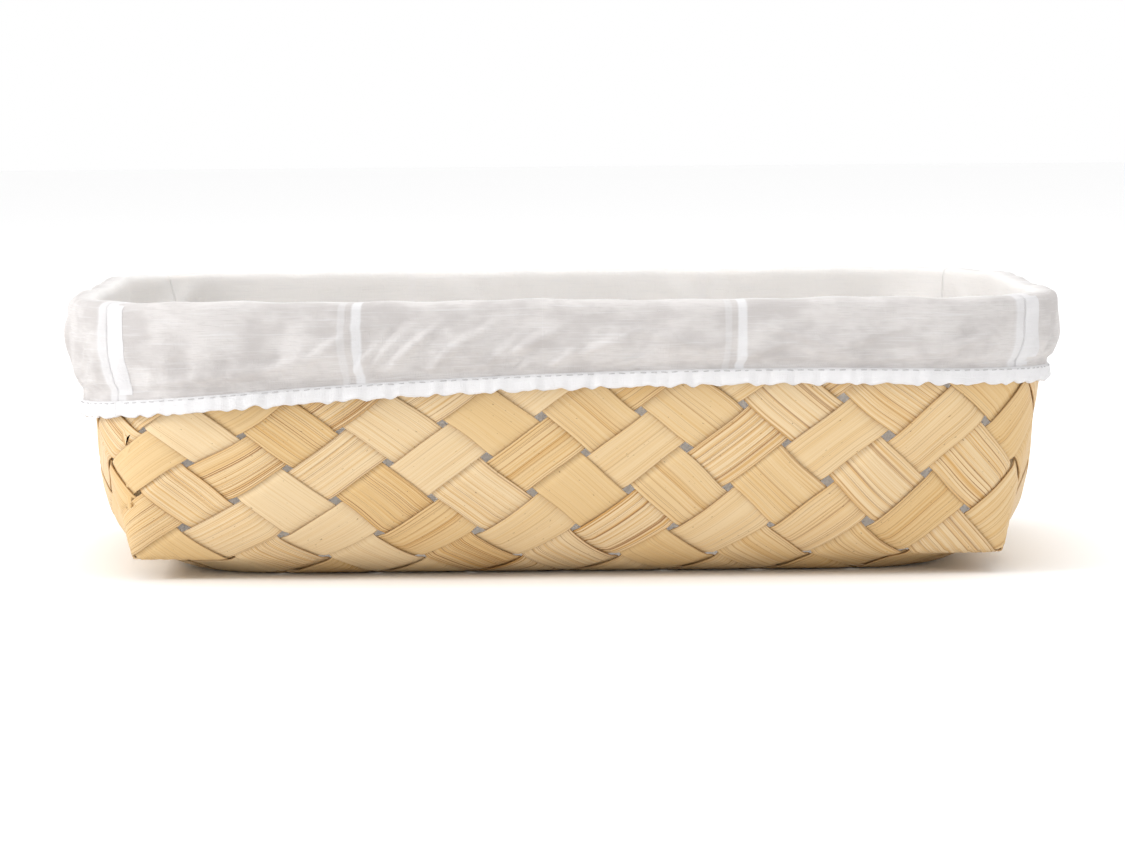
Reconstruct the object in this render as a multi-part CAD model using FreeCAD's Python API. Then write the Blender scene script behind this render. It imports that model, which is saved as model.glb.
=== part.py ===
"""Rectangular bread basket plaited on the bias from split-bamboo strips, with a cloth liner.

The strips run at 45 degrees over the base, turn up through a soft belly into four leaning walls, and end
between an inner and an outer rim band that small tacks clinch together.  The liner is a cloth bag that
stands in the basket, folds over the rim and hangs outside it as a cuff with an elasticated, bound hem.

Frame: +Z up, X along the long side, origin on the floor under the middle of the basket.  Millimetres.
The weave is laid out on a flat plan of square cells, the base rectangle with a wall folded down from each
side.  A cell's side is the distance along an edge between two strips that run the same way.
"""
import FreeCAD
import Part
import math
import os

Vector = FreeCAD.Vector

# ---- Weave ----
CELLS_LONG = 9              # cells along the base's long side
CELLS_WIDE = 6              # cells along its short side
STRIP_PITCH = 21.6          # between the centre lines of neighbouring strips
STRIP_WIDTH = 16.8
STRIP_THICKNESS = 0.7
WEAVE_CLEARANCE = 0.9       # between the faces of two strips where one crosses over the other
FLOAT_FLATNESS = 3.0        # how square the wave of a strip is: higher keeps it flat for longer
GRAIN_TWIST = 0.12          # how far the lattice leans along the rim, in cells per cell of height
ROW_CLOSING = 0.815          # the rows on the walls lie this much closer than on the flat base
ROW_TILT = 0.165             # and open towards +X and close towards -X by this share

# ---- Basket body ----
CORNER_LIFT = 6.4           # how far the fold between base and wall is above the base's flat middle
CORNER_DISH_SHARE = 0.18    # how steep that rise still is next to a corner, of what it is mid-side
RIM_HEIGHT = 87.5           # top of the strips and the rim bands
WALL_LEAN = 0.26           # outward lean of the walls, sideways per height
CORNER_ROUNDING = 2.85      # corner radius of a level section, per millimetre that it leans out
BELLY_START_DEG = 32.0      # slope of the wall where it leaves the fold, mid-side
BELLY_LENGTH = 19.0         # length along the wall of the curve from that slope to the lean
CORNER_FOLD_LENGTH = 7.0    # the same beside a corner
BELLY_FADE_FROM = 25.0      # height where the belly starts to fade towards the straight rim
UPRIGHT_BELOW_BAND = 2.5    # the strips stand upright from this far below the rim bands
CORNER_REACH = 45.0         # distance from a corner over which the belly grows to its full size

# ---- Rim ----
BAND_HEIGHT = 16.5
BAND_THICKNESS = 1.2
BAND_CLEARANCE = 0.3       # between a band and the strips
BAND_JOINT_GAP = 0.6        # between the butted ends of a band, on the back
TACK_SHANK_RADIUS = 0.5
TACK_HOLE_CLEARANCE = 0.04
TACK_HEAD_RADIUS = 1.6
TACK_CLINCH_RADIUS = 1.0
TACK_PLATE = 0.3            # thickness of the head and of the clinched end
TACK_SEAT = 0.05            # between a head and the band that it holds
TACK_EVERY = 2              # cells between neighbouring tacks

# ---- Liner ----
CLOTH = 0.5
LINER_CLEARANCE = 0.3       # between the liner and what it hangs on or stands on
BAG_FLOOR_INSET = 20.0      # flat floor of the bag, inside the base's fold line
BAG_FLOOR_RADIUS = 28.0     # its corner radius
BAG_HEEL_HEIGHT = 14.0      # height where the bag's sloping heel ends
BAG_HEEL_INSET = 2.8        # and how far inside the fold line it is there
CUFF_DROP = 29.5            # from the rim's top down to the hem's lower edge, mid-side
HEM_SLOPE = 0.03            # the hem rises towards +X by this much per millimetre
FOLD_RADIUS = 0.8           # inside radius of the cloth's turn over the rim
BINDING_HEIGHT = 5.2
BINDING_CLOTH = 0.4
ELASTIC_HEIGHT = 3.4
ELASTIC_THICKNESS = 0.7
HEM_PLAY = 0.1              # between the layers in the hem
SEAM_WIDTH = 7.0            # flattened allowance of each corner seam
THREAD = 0.35
STITCH_LINE_DROP = 1.2      # stitching below the binding's upper edge

# ---- Modelling ----
ROWS_PER_PITCH = 8          # rows of surface poles along a strip, per strip pitch
POLES_ACROSS = (0, 1 / 6, 1 / 2, 5 / 6, 1)   # places across a strip, spaced so that its surface runs evenly
ROWS_BEYOND = 4             # rows of poles past each trimmed end
PROBE = 0.06                # step, in pitches, for measuring a surface's direction
FLOOR_TRIM = 0.05           # the lowest floats stand out by this much and are trimmed flat on the floor

# ---- Derived sizes ----
CELL = STRIP_PITCH * math.sqrt(2)
WEAVE_RISE = (STRIP_THICKNESS + WEAVE_CLEARANCE) / 2   # of a strip's middle, either side of the weave's
HALF_LONG = CELLS_LONG * CELL / 2
HALF_WIDE = CELLS_WIDE * CELL / 2
PERIMETER_CELLS = 2 * (CELLS_LONG + CELLS_WIDE)
HALF_WEAVE = WEAVE_RISE + STRIP_THICKNESS / 2
BASE_LEVEL = HALF_WEAVE - FLOOR_TRIM
FOLD_LEVEL = BASE_LEVEL + CORNER_LIFT
LEAN_ANGLE = math.atan2(1, WALL_LEAN)
BAND_FOOT = RIM_HEIGHT - BAND_HEIGHT
BASE_DISH_WIDTH = 2 * CORNER_LIFT / math.tan(math.radians(BELLY_START_DEG))
UPRIGHT_FROM = BAND_FOOT - UPRIGHT_BELOW_BAND
RIM_OUT = WALL_LEAN * (UPRIGHT_FROM - FOLD_LEVEL)
RIM_RADIUS = CORNER_ROUNDING * RIM_OUT
BAND_INSIDE = HALF_WEAVE + BAND_CLEARANCE
BAND_OUTSIDE = BAND_INSIDE + BAND_THICKNESS
TACK_STAND = TACK_SEAT + TACK_PLATE
HEM_INNER = RIM_OUT + BAND_OUTSIDE + TACK_STAND + LINER_CLEARANCE
CUFF_INNER = HEM_INNER + BINDING_CLOTH + HEM_PLAY
CUFF_OUTER = CUFF_INNER + CLOTH
HEM_OUTER = CUFF_OUTER + HEM_PLAY + ELASTIC_THICKNESS + HEM_PLAY + BINDING_CLOTH
HEM_FOOT = RIM_HEIGHT - CUFF_DROP
CUFF_TOP = RIM_HEIGHT + LINER_CLEARANCE + CLOTH
BAG_FLOOR_LEVEL = 2 * HALF_WEAVE - FLOOR_TRIM + LINER_CLEARANCE
BAG_RIM_OUT = RIM_OUT - BAND_OUTSIDE - TACK_STAND - LINER_CLEARANCE
BAG_RIM_RADIUS = RIM_RADIUS + BAG_RIM_OUT - RIM_OUT


def smooth(value):
    """Smooth step from 0 to 1."""
    value = min(1.0, max(0.0, value))
    return value * value * (3 - 2 * value)


# ---- The weave's middle surface ----
def dish(distance):
    """How far the base has dropped from the fold, from 0 at the fold to 1 at its flat middle."""
    return 1 - max(0.0, 1 - distance / BASE_DISH_WIDTH) ** 2


def dish_share(distance):
    """How steep the dish is at a distance from the nearest corner."""
    return CORNER_DISH_SHARE + (1 - CORNER_DISH_SHARE) * smooth(distance / CORNER_REACH)


def base_point(across, along):
    """Point of the base for plan coordinates in cells, counted from the front left corner."""
    x, y = across * CELL, along * CELL
    to_side = min(x, 2 * HALF_LONG - x)
    to_front = min(y, 2 * HALF_WIDE - y)
    drop = dish(to_side * dish_share(to_front)) * dish(to_front * dish_share(to_side))
    return Vector(x - HALF_LONG, y - HALF_WIDE, BASE_LEVEL + CORNER_LIFT * (1 - drop))


def belly_profile(length, middle):
    """(outward, up) along a wall, from the fold; middle is 0 beside a corner and 1 mid-side."""
    start = LEAN_ANGLE - middle * (LEAN_ANGLE - math.radians(BELLY_START_DEG))
    turn = max(LEAN_ANGLE - start, 1e-6)
    curve = CORNER_FOLD_LENGTH + middle * (BELLY_LENGTH - CORNER_FOLD_LENGTH)
    radius = curve / turn
    angle = start + turn * min(1.0, length / curve)
    straight = max(0.0, length - curve)
    out = radius * (math.sin(angle) - math.sin(start)) + straight * math.cos(LEAN_ANGLE)
    up = radius * (math.cos(start) - math.cos(angle)) + straight * math.sin(LEAN_ANGLE)
    return out, up


def level_outline(side_cells, run, out):
    """(along, outward, normal along, normal outward) on a rounded rectangle, for one of its sides.

    run goes from 0 to 1 between the middles of the side's two corner arcs; along is measured from the
    side's middle and outward from the fold line.
    """
    half = side_cells * CELL / 2 + out
    radius = CORNER_ROUNDING * out
    straight = half - radius
    arc = radius * math.pi / 4
    travel = run * 2 * (straight + arc) - arc - straight
    sign = 1 if travel > 0 else -1
    past = abs(travel) - straight
    if past <= 0 or radius == 0:
        return travel, out, 0.0, 1.0
    turn = past / radius
    return (sign * (straight + radius * math.sin(turn)), out - radius * (1 - math.cos(turn)),
            sign * math.sin(turn), math.cos(turn))


def wall_point(around, rows):
    """Point of a wall: around in cells along the fold from the front left corner, rows in cells above it."""
    place = (around + GRAIN_TWIST * rows) % PERIMETER_CELLS
    lengths = (CELLS_LONG, CELLS_WIDE, CELLS_LONG, CELLS_WIDE)
    side = 0
    while place > lengths[side]:
        place -= lengths[side]
        side += 1
    cells = lengths[side]
    run = place / cells
    to_right = (run, 1.0, 1 - run, 0.0)[side]
    closing = ROW_CLOSING * (1 + ROW_TILT * (2 * to_right - 1))
    to_corner = min(place, cells - place) * CELL
    middle = smooth(to_corner / CORNER_REACH)
    full_out, up = belly_profile(rows * closing * CELL, middle)
    height = FOLD_LEVEL + up
    out = WALL_LEAN * (min(height, UPRIGHT_FROM) - FOLD_LEVEL)
    fade = 1 - smooth((height - BELLY_FADE_FROM) / (UPRIGHT_FROM - BELLY_FADE_FROM))
    belly = max(0.0, full_out - WALL_LEAN * up) * fade
    along, outward, normal_along, normal_out = level_outline(cells, run, out)
    along += belly * normal_along
    outward += belly * normal_out
    x, y = ((along, -HALF_WIDE - outward), (HALF_LONG + outward, along),
            (-along, HALF_WIDE + outward), (-HALF_LONG - outward, -along))[side]
    return Vector(x, y, height)


def edge_wall(edge, across, along):
    """(around, rows) on the wall that hangs from an edge, for plan coordinates beyond that edge."""
    return {
        "front": (across, -along),
        "right": (CELLS_LONG + along, across - CELLS_LONG),
        "back": (2 * CELLS_LONG + CELLS_WIDE - across, along - CELLS_WIDE),
        "left": (PERIMETER_CELLS - along, -across),
    }[edge]


# ---- Strips ----
class Strip:
    """One bamboo strip: leaning right ("rising") or left ("falling") in plan, by its number."""

    def __init__(self, rising, number):
        self.rising = rising
        self.number = number
        line = number + 0.5
        if rising:
            self.first_edge = "front" if line > 0 else "left"
            self.first = abs(line) - 0.5
            at_right = CELLS_LONG - line
            self.last_edge = "right" if at_right < CELLS_WIDE else "back"
            self.last = 2 * CELLS_LONG - line - 0.5 if at_right < CELLS_WIDE else 2 * CELLS_WIDE + line - 0.5
        else:
            self.first_edge = "left" if line < CELLS_WIDE else "back"
            self.first = -line - 0.5 if line < CELLS_WIDE else line - 2 * CELLS_WIDE - 0.5
            self.last_edge = "front" if line < CELLS_LONG else "right"
            self.last = line - 0.5 if line < CELLS_LONG else 2 * CELLS_LONG - line - 0.5

    def middle_point(self, step, offset):
        """Point of the weave's middle surface, step pitches along the strip and offset pitches across it."""
        own, other = self.number + 0.5 + offset, step + 0.5
        across = (own + other) / 2
        along = (other - own) / 2 if self.rising else (own - other) / 2
        for edge in (self.first_edge, self.last_edge):
            around, rows = edge_wall(edge, across, along)
            if rows > 0:
                return wall_point(around, rows)
        return base_point(across, along)

    def wave(self, step):
        """Which side of the middle surface the strip is on: 1 outside, -1 inside."""
        outside_at = self.number % 2 if self.rising else (self.number + 1) % 2
        swing = math.cos(math.pi * (step - outside_at))
        return math.tanh(FLOAT_FLATNESS * swing) / math.tanh(FLOAT_FLATNESS)

    def row(self, step):
        """One row of poles across the strip, as (outer face, inner face)."""
        outer, inner = [], []
        for place in POLES_ACROSS:
            offset = STRIP_WIDTH / STRIP_PITCH * (place - 0.5)
            middle = self.middle_point(step, offset)
            forward = self.middle_point(step + PROBE, offset) - self.middle_point(step - PROBE, offset)
            sideways = self.middle_point(step, offset + PROBE) - self.middle_point(step, offset - PROBE)
            normal = forward.cross(sideways) if self.rising else sideways.cross(forward)
            normal.normalize()
            shift = WEAVE_RISE * self.wave(step)
            outer.append(middle + normal * (shift + STRIP_THICKNESS / 2))
            inner.append(middle + normal * (shift - STRIP_THICKNESS / 2))
        return outer, inner

    def solid(self):
        """The strip's solid, trimmed level with the rim and flat on the floor."""
        first = math.floor(self.first * ROWS_PER_PITCH)
        last = math.ceil(self.last * ROWS_PER_PITCH)
        while min(pole.z for pole in self.row(first / ROWS_PER_PITCH)[0]) < RIM_HEIGHT + 1:
            first -= 1
        while min(pole.z for pole in self.row(last / ROWS_PER_PITCH)[0]) < RIM_HEIGHT + 1:
            last += 1
        numbers = range(first - ROWS_BEYOND, last + ROWS_BEYOND + 1)
        rows = [self.row(number / ROWS_PER_PITCH) for number in numbers]
        ribbon = skin_solid([outer for outer, _ in rows], [inner for _, inner in rows])
        reach = HALF_LONG + HALF_WIDE
        trim = Part.makeBox(2 * reach, 2 * reach, RIM_HEIGHT, Vector(-reach, -reach, 0))
        return ribbon.common(trim).Solids[0]


def spline_surface(poles, across_degree=3):
    """A smooth surface that follows a grid of poles and ends on its outer rows."""
    def knots(count, degree):
        inner = count - degree - 1
        return [degree + 1] + [1] * inner + [degree + 1], [float(i) for i in range(inner + 2)]

    u_mults, u_knots = knots(len(poles), 3)
    v_mults, v_knots = knots(len(poles[0]), across_degree)
    surface = Part.BSplineSurface()
    surface.buildFromPolesMultsKnots(poles, u_mults, v_mults, u_knots, v_knots, False, False,
                                     3, across_degree)
    return surface.toShape()


def skin_solid(outer, inner):
    """A thin solid between two pole grids of the same size, closed by straight-ruled sides and ends."""
    faces = [spline_surface(outer), spline_surface(inner)]
    for side in (0, -1):
        faces.append(spline_surface([[o[side], i[side]] for o, i in zip(outer, inner)], 1))
    for end in (0, -1):
        faces.append(spline_surface([list(pair) for pair in zip(outer[end], inner[end])], 1))
    shell = Part.Shell(faces)
    shell.sewShape()
    solid = Part.Solid(shell)
    if solid.Volume < 0:
        solid.reverse()
    return solid


def strips():
    """Every strip by its node name: the rising ones, then the falling ones, each from the left."""
    count = CELLS_LONG + CELLS_WIDE
    for number in range(count):
        yield f"strip_rising_{number + 1:02d}", Strip(True, number - CELLS_WIDE).solid()
    for number in range(count):
        yield f"strip_falling_{number + 1:02d}", Strip(False, number).solid()


# ---- Rounded rectangles ----
def outline(out, radius, level):
    """Rounded rectangle, out beyond the fold line on every side, as a wire at a level."""
    half_x, half_y = HALF_LONG + out, HALF_WIDE + out
    edges = []
    for quarter in range(4):
        angle = quarter * math.pi / 2
        turn_x, turn_y = ((1, 1), (-1, 1), (-1, -1), (1, -1))[quarter]
        centre = Vector(turn_x * (half_x - radius), turn_y * (half_y - radius), level)
        points = [centre + Vector(math.cos(angle + part), math.sin(angle + part), 0) * radius
                  for part in (0, math.pi / 4, math.pi / 2)]
        if edges:
            edges.append(Part.LineSegment(edges[-1].Vertexes[-1].Point, points[0]).toShape())
        edges.append(Part.Arc(*points).toShape())
    edges.append(Part.LineSegment(edges[-1].Vertexes[-1].Point, edges[0].Vertexes[0].Point).toShape())
    return Part.Wire(edges)


def rim_radius(out):
    """Corner radius of an outline that runs parallel to the rim."""
    return RIM_RADIUS + out - RIM_OUT


def block(out, foot, top):
    """Upright block whose outline runs parallel to the rim."""
    return Part.Face(outline(out, rim_radius(out), foot)).extrude(Vector(0, 0, top - foot))


def ring(inner, outer, foot, top):
    """Upright band between two outlines that run parallel to the rim."""
    return block(outer, foot, top).cut(block(inner, foot - 1, top + 1))


def sloped_ring(inner, outer, foot, top):
    """Band between two outlines with its lower and upper edges along the hem's slope.

    foot and top are the levels of those edges mid-side.
    """
    reach = 2 * HALF_LONG
    rise = HEM_SLOPE * reach
    corners = [Vector(-reach, -reach, foot - rise), Vector(reach, -reach, foot + rise),
               Vector(reach, -reach, top + rise), Vector(-reach, -reach, top - rise)]
    slab = Part.Face(Part.makePolygon(corners + corners[:1])).extrude(Vector(0, 2 * reach, 0))
    return ring(inner, outer, foot - rise, top + rise).common(slab)


# ---- Rim ----
def rim_place(around, level):
    """(point on the rim's middle line, outward direction) at a place around it, in cells."""
    place, side = around % PERIMETER_CELLS, 0
    lengths = (CELLS_LONG, CELLS_WIDE, CELLS_LONG, CELLS_WIDE)
    while place > lengths[side]:
        place -= lengths[side]
        side += 1
    along, outward, tilt, straight = level_outline(lengths[side], place / lengths[side], RIM_OUT)
    point = ((along, -HALF_WIDE - outward), (HALF_LONG + outward, along),
             (-along, HALF_WIDE + outward), (-HALF_LONG - outward, -along))[side]
    normal = ((tilt, -straight), (straight, tilt), (-tilt, straight), (-straight, -tilt))[side]
    return Vector(*point, level), Vector(*normal, 0)


def tack_places():
    """Where the tacks go: the weave's openings nearest the bands' mid-height, TACK_EVERY cells apart."""
    aim = RIM_HEIGHT - BAND_HEIGHT / 2
    places = []
    for cell in range(1, PERIMETER_CELLS, TACK_EVERY):
        openings = []
        for half_rows in range(2, 4 * CELLS_WIDE):
            rows = half_rows / 2
            around = cell + rows % 1
            level = wall_point(around, rows).z
            openings.append((abs(level - aim), level, around + GRAIN_TWIST * rows))
        _, level, around = min(openings)
        places.append(rim_place(around, level))
    return places


def tack(point, outward):
    """A tack driven through both bands from outside, with its end clinched inside."""
    start = BAND_OUTSIDE + TACK_SEAT
    foot = point - outward * (start + TACK_PLATE)
    shank = Part.makeCylinder(TACK_SHANK_RADIUS, 2 * (start + TACK_PLATE), foot, outward)
    head = Part.makeCylinder(TACK_HEAD_RADIUS, TACK_PLATE, point + outward * start, outward)
    clinch = Part.makeCylinder(TACK_CLINCH_RADIUS, TACK_PLATE, foot, outward)
    return shank.fuse([head, clinch]).removeSplitter()


def rim_band(inner, outer):
    """One rim band with the joint between its ends on the back and a hole for each tack."""
    band = ring(RIM_OUT + inner, RIM_OUT + outer, BAND_FOOT, RIM_HEIGHT)
    depth = abs(outer - inner) + 2
    joint_y = HALF_WIDE + RIM_OUT + min(inner, outer) - 1
    joint = Part.makeBox(BAND_JOINT_GAP, depth, BAND_HEIGHT + 2,
                         Vector(-BAND_JOINT_GAP / 2, joint_y, BAND_FOOT - 1))
    holes = [Part.makeCylinder(TACK_SHANK_RADIUS + TACK_HOLE_CLEARANCE, 4 * BAND_OUTSIDE,
                               point - outward * 2 * BAND_OUTSIDE, outward)
             for point, outward in tack_places()]
    return band.cut([joint] + holes)


# ---- Liner ----
def wedge(side):
    """Prism over one side of the basket, cut at 45 degrees through the corners."""
    reach = HALF_LONG
    ridge = HALF_LONG - HALF_WIDE
    front = [(-HALF_LONG - reach, -HALF_WIDE - reach), (HALF_LONG + reach, -HALF_WIDE - reach),
             (ridge, 0), (-ridge, 0)]
    right = [(HALF_LONG + reach, -HALF_WIDE - reach), (HALF_LONG + reach, HALF_WIDE + reach),
             (ridge, 0)]
    points = {"front": front, "right": right,
              "back": [(-x, -y) for x, y in front], "left": [(-x, -y) for x, y in right]}[side]
    corners = [Vector(x, y, -1) for x, y in points + points[:1]]
    return Part.Face(Part.makePolygon(corners)).extrude(Vector(0, 0, 2 * RIM_HEIGHT))


def bag(inset, top):
    """The liner's bag as a solid block, inset from its outer face, up to a level."""
    sections = [
        outline(-BAG_FLOOR_INSET - inset, BAG_FLOOR_RADIUS - inset, BAG_FLOOR_LEVEL + inset),
        outline(-BAG_HEEL_INSET - inset, BAG_RIM_RADIUS - inset, BAG_HEEL_HEIGHT + inset),
        outline(BAG_RIM_OUT - inset, BAG_RIM_RADIUS - inset, UPRIGHT_FROM),
        outline(BAG_RIM_OUT - inset, BAG_RIM_RADIUS - inset, top),
    ]
    return Part.makeLoft(sections, True, True)


def rounded_top(body, level, radius):
    """The body with the outline of its top face rounded."""
    edges = [edge for edge in body.Edges if all(abs(v.Z - level) < 1e-6 for v in edge.Vertexes)]
    return body.makeFillet(radius, edges)


def liner():
    """The cloth as one body: bag, turn over the rim and cuff."""
    cuff_foot = HEM_FOOT + BINDING_CLOTH + HEM_PLAY
    under = RIM_HEIGHT + LINER_CLEARANCE
    outside = rounded_top(block(CUFF_OUTER, 0, CUFF_TOP), CUFF_TOP, FOLD_RADIUS + CLOTH)
    cavity = rounded_top(block(CUFF_INNER, -1, under), under, FOLD_RADIUS)
    drape = outside.cut(cavity).cut(sloped_ring(CUFF_INNER - 1, CUFF_OUTER + 1, -RIM_HEIGHT, cuff_foot))
    return drape.fuse(bag(0, CUFF_TOP)).cut(bag(CLOTH, CUFF_TOP + 1))


def liner_parts():
    """The liner's cut pieces by node name: floor and four side panels, each with its stretch of cuff."""
    cloth = liner()
    seam_level = BAG_FLOOR_LEVEL + CLOTH
    below = Part.makeBox(4 * HALF_LONG, 4 * HALF_LONG, seam_level,
                         Vector(-2 * HALF_LONG, -2 * HALF_LONG, 0))
    yield "liner_floor", cloth.common(below)
    sides = cloth.cut(below)
    for side in ("front", "right", "back", "left"):
        yield f"liner_panel_{side}", sides.common(wedge(side))


def hem_parts():
    """Binding, elastic and stitching of the hem."""
    top = HEM_FOOT + BINDING_HEIGHT
    binding = sloped_ring(HEM_INNER, HEM_OUTER, HEM_FOOT, top)
    slot = sloped_ring(HEM_INNER + BINDING_CLOTH, HEM_OUTER - BINDING_CLOTH, HEM_FOOT + BINDING_CLOTH,
                       top + 1)
    yield "hem_binding", binding.cut(slot)
    elastic_foot = HEM_FOOT + BINDING_CLOTH + HEM_PLAY
    elastic_inner = CUFF_OUTER + HEM_PLAY
    yield "hem_elastic", sloped_ring(elastic_inner, elastic_inner + ELASTIC_THICKNESS, elastic_foot,
                                     elastic_foot + ELASTIC_HEIGHT)
    line = top - STITCH_LINE_DROP
    yield "hem_stitching", sloped_ring(HEM_OUTER + HEM_PLAY, HEM_OUTER + HEM_PLAY + THREAD, line - THREAD,
                                       line)


def corner_seams():
    """The flattened seam allowance at each corner of the cuff, four solids in one node."""
    foot = HEM_FOOT + BINDING_HEIGHT + HEM_PLAY
    top = RIM_HEIGHT - FOLD_RADIUS
    inner = CUFF_OUTER + HEM_PLAY
    band = block(inner + CLOTH, 0, top).cut(block(inner, -1, top + 1))
    band = band.cut(sloped_ring(inner - 1, inner + CLOTH + 1, -RIM_HEIGHT, foot))
    pieces = []
    for turn_x in (-1, 1):
        for turn_y in (-1, 1):
            slab = Part.makeBox(4 * RIM_RADIUS, SEAM_WIDTH, 2 * RIM_HEIGHT,
                                Vector(0, -SEAM_WIDTH / 2, 0))
            slab.rotate(Vector(0, 0, 0), Vector(0, 0, 1), math.degrees(math.atan2(turn_y, turn_x)))
            inner_x = turn_x * (HALF_LONG + RIM_OUT - RIM_RADIUS)
            inner_y = turn_y * (HALF_WIDE + RIM_OUT - RIM_RADIUS)
            slab.translate(Vector(inner_x, inner_y, 0))
            pieces.append(band.common(slab))
    return Part.makeCompound([piece.Solids[0] for piece in pieces])


def parts():
    """Every sub-part by its node name."""
    yield from strips()
    yield "rim_band_outer", rim_band(BAND_INSIDE, BAND_OUTSIDE)
    yield "rim_band_inner", rim_band(-BAND_OUTSIDE, -BAND_INSIDE)
    yield "rim_tacks", Part.makeCompound([tack(point, outward) for point, outward in tack_places()])
    yield from liner_parts()
    yield from hem_parts()
    yield "cuff_corner_seams", corner_seams()


os.makedirs("parts", exist_ok=True)
for name, shape in parts():
    shape.exportStep(f"parts/{name}.step")
    print(f"{name}: {len(shape.Solids)} solids, {shape.Volume / 1000:.2f} cm3, valid {shape.isValid()}")
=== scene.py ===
"""Looks of a bread basket plaited on the bias from split bamboo, with a gathered cotton liner.

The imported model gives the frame: the strips, bands and cloth lie where it says.  This script replaces the
plain strips and cloth with detailed meshes and dresses every piece.  Metres throughout, +Z up.
"""
import logging
import math
from dataclasses import dataclass, field
from enum import Enum

import bpy
import numpy as np
from mathutils import Matrix, Vector


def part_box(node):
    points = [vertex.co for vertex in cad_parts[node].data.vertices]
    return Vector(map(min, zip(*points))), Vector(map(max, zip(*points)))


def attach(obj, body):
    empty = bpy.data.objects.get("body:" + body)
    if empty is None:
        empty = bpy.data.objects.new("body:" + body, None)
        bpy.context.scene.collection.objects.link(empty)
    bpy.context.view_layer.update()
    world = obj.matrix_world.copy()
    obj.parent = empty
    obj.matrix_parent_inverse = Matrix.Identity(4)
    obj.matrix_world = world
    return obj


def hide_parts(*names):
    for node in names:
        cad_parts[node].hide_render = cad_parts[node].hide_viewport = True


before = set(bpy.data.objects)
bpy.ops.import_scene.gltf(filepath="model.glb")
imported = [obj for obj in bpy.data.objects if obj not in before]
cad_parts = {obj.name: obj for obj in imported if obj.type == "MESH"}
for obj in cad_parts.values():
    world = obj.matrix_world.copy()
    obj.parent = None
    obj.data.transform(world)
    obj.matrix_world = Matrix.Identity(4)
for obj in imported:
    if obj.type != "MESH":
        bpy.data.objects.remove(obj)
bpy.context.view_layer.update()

LOG = logging.getLogger("bread_basket")
MM = 0.001
SEED = 27
WELD_DISTANCE = 0.01 * MM
CLOTH_EDGE = 60.0   # degrees; cloth edges sharper than this stay sharp
Array = np.ndarray


# ---------------------------------------------------------------- small maths
def smooth(value: Array | float) -> Array:
    """Smooth step from 0 to 1."""
    value = np.clip(value, 0.0, 1.0)
    return value * value * (3 - 2 * value)


def bump(distance: Array, width: float) -> Array:
    """A soft hump of height 1 where distance is 0, gone after about two widths."""
    return np.exp(-((distance / width) ** 2))


@dataclass(frozen=True)
class Drift:
    """A smooth random line: a sum of sines with fixed random phases.

    Args:
        seed: picks the phases.
        wavelengths: of the sines, in the unit that the line is read in.
        period: length after which the line repeats, or 0 if it needn't.
    """

    seed: int
    wavelengths: tuple[float, ...]
    period: float = 0.0

    def at(self, place: Array) -> Array:
        """The line's height, about -1 to 1, at each place.

        Args:
            place: where it is read.

        Returns:
            The heights.
        """
        random = np.random.default_rng(self.seed)
        total = np.zeros_like(np.asarray(place, float))
        for wavelength in self.wavelengths:
            waves = 1 / wavelength
            if self.period:
                waves = max(1, round(self.period / wavelength)) / self.period
            weight, phase = random.uniform(0.5, 1.0), random.uniform(0, 2 * math.pi)
            total = total + weight * np.sin(2 * math.pi * waves * place + phase)
        return total / (0.75 * max(1.0, math.sqrt(len(self.wavelengths))))


# ---------------------------------------------------------------- meshes
@dataclass
class MeshDraft:
    """Points, faces and point attributes of a mesh that is being put together."""

    points: list[Array] = field(default_factory=list)
    quads: list[Array] = field(default_factory=list)
    values: dict[str, list[Array]] = field(default_factory=dict)
    count: int = 0

    def add(self, points: Array, quads: Array, **values: Array) -> None:
        """Adds a patch.

        Args:
            points: (n, 3) places.
            quads: (m, 4) point numbers within the patch.
            **values: one array of n numbers or n vectors per attribute.
        """
        self.points.append(np.asarray(points, float).reshape(-1, 3))
        self.quads.append(np.asarray(quads, int).reshape(-1, 4) + self.count)
        for name, value in values.items():
            self.values.setdefault(name, []).append(np.asarray(value, float))
        self.count += len(self.points[-1])

    def build(self, name: str, crease_degrees: float = 40.0) -> bpy.types.Object:
        """Makes the object.

        Args:
            name: of the object.
            crease_degrees: edges sharper than this stay sharp.

        Returns:
            The new object, linked to the scene.
        """
        points, quads = np.concatenate(self.points), np.concatenate(self.quads)
        mesh = bpy.data.meshes.new(name)
        mesh.vertices.add(len(points))
        mesh.vertices.foreach_set("co", points.astype(np.float32).ravel())
        mesh.loops.add(quads.size)
        mesh.loops.foreach_set("vertex_index", quads.astype(np.int32).ravel())
        mesh.polygons.add(len(quads))
        mesh.polygons.foreach_set("loop_start", np.arange(0, quads.size, 4, dtype=np.int32))
        mesh.polygons.foreach_set("loop_total", np.full(len(quads), 4, dtype=np.int32))
        mesh.update(calc_edges=True)
        mesh.validate()
        for label, parts in self.values.items():
            data = np.concatenate(parts).astype(np.float32)
            vector = data.ndim == 2
            layer = mesh.attributes.new(label, "FLOAT_VECTOR" if vector else "FLOAT", "POINT")
            layer.data.foreach_set("vector" if vector else "value", data.ravel())
        mesh.polygons.foreach_set("use_smooth", np.ones(len(mesh.polygons), dtype=bool))
        mesh.set_sharp_from_angle(angle=math.radians(crease_degrees))
        made = bpy.data.objects.new(name, mesh)
        bpy.context.collection.objects.link(made)
        return made


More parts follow.
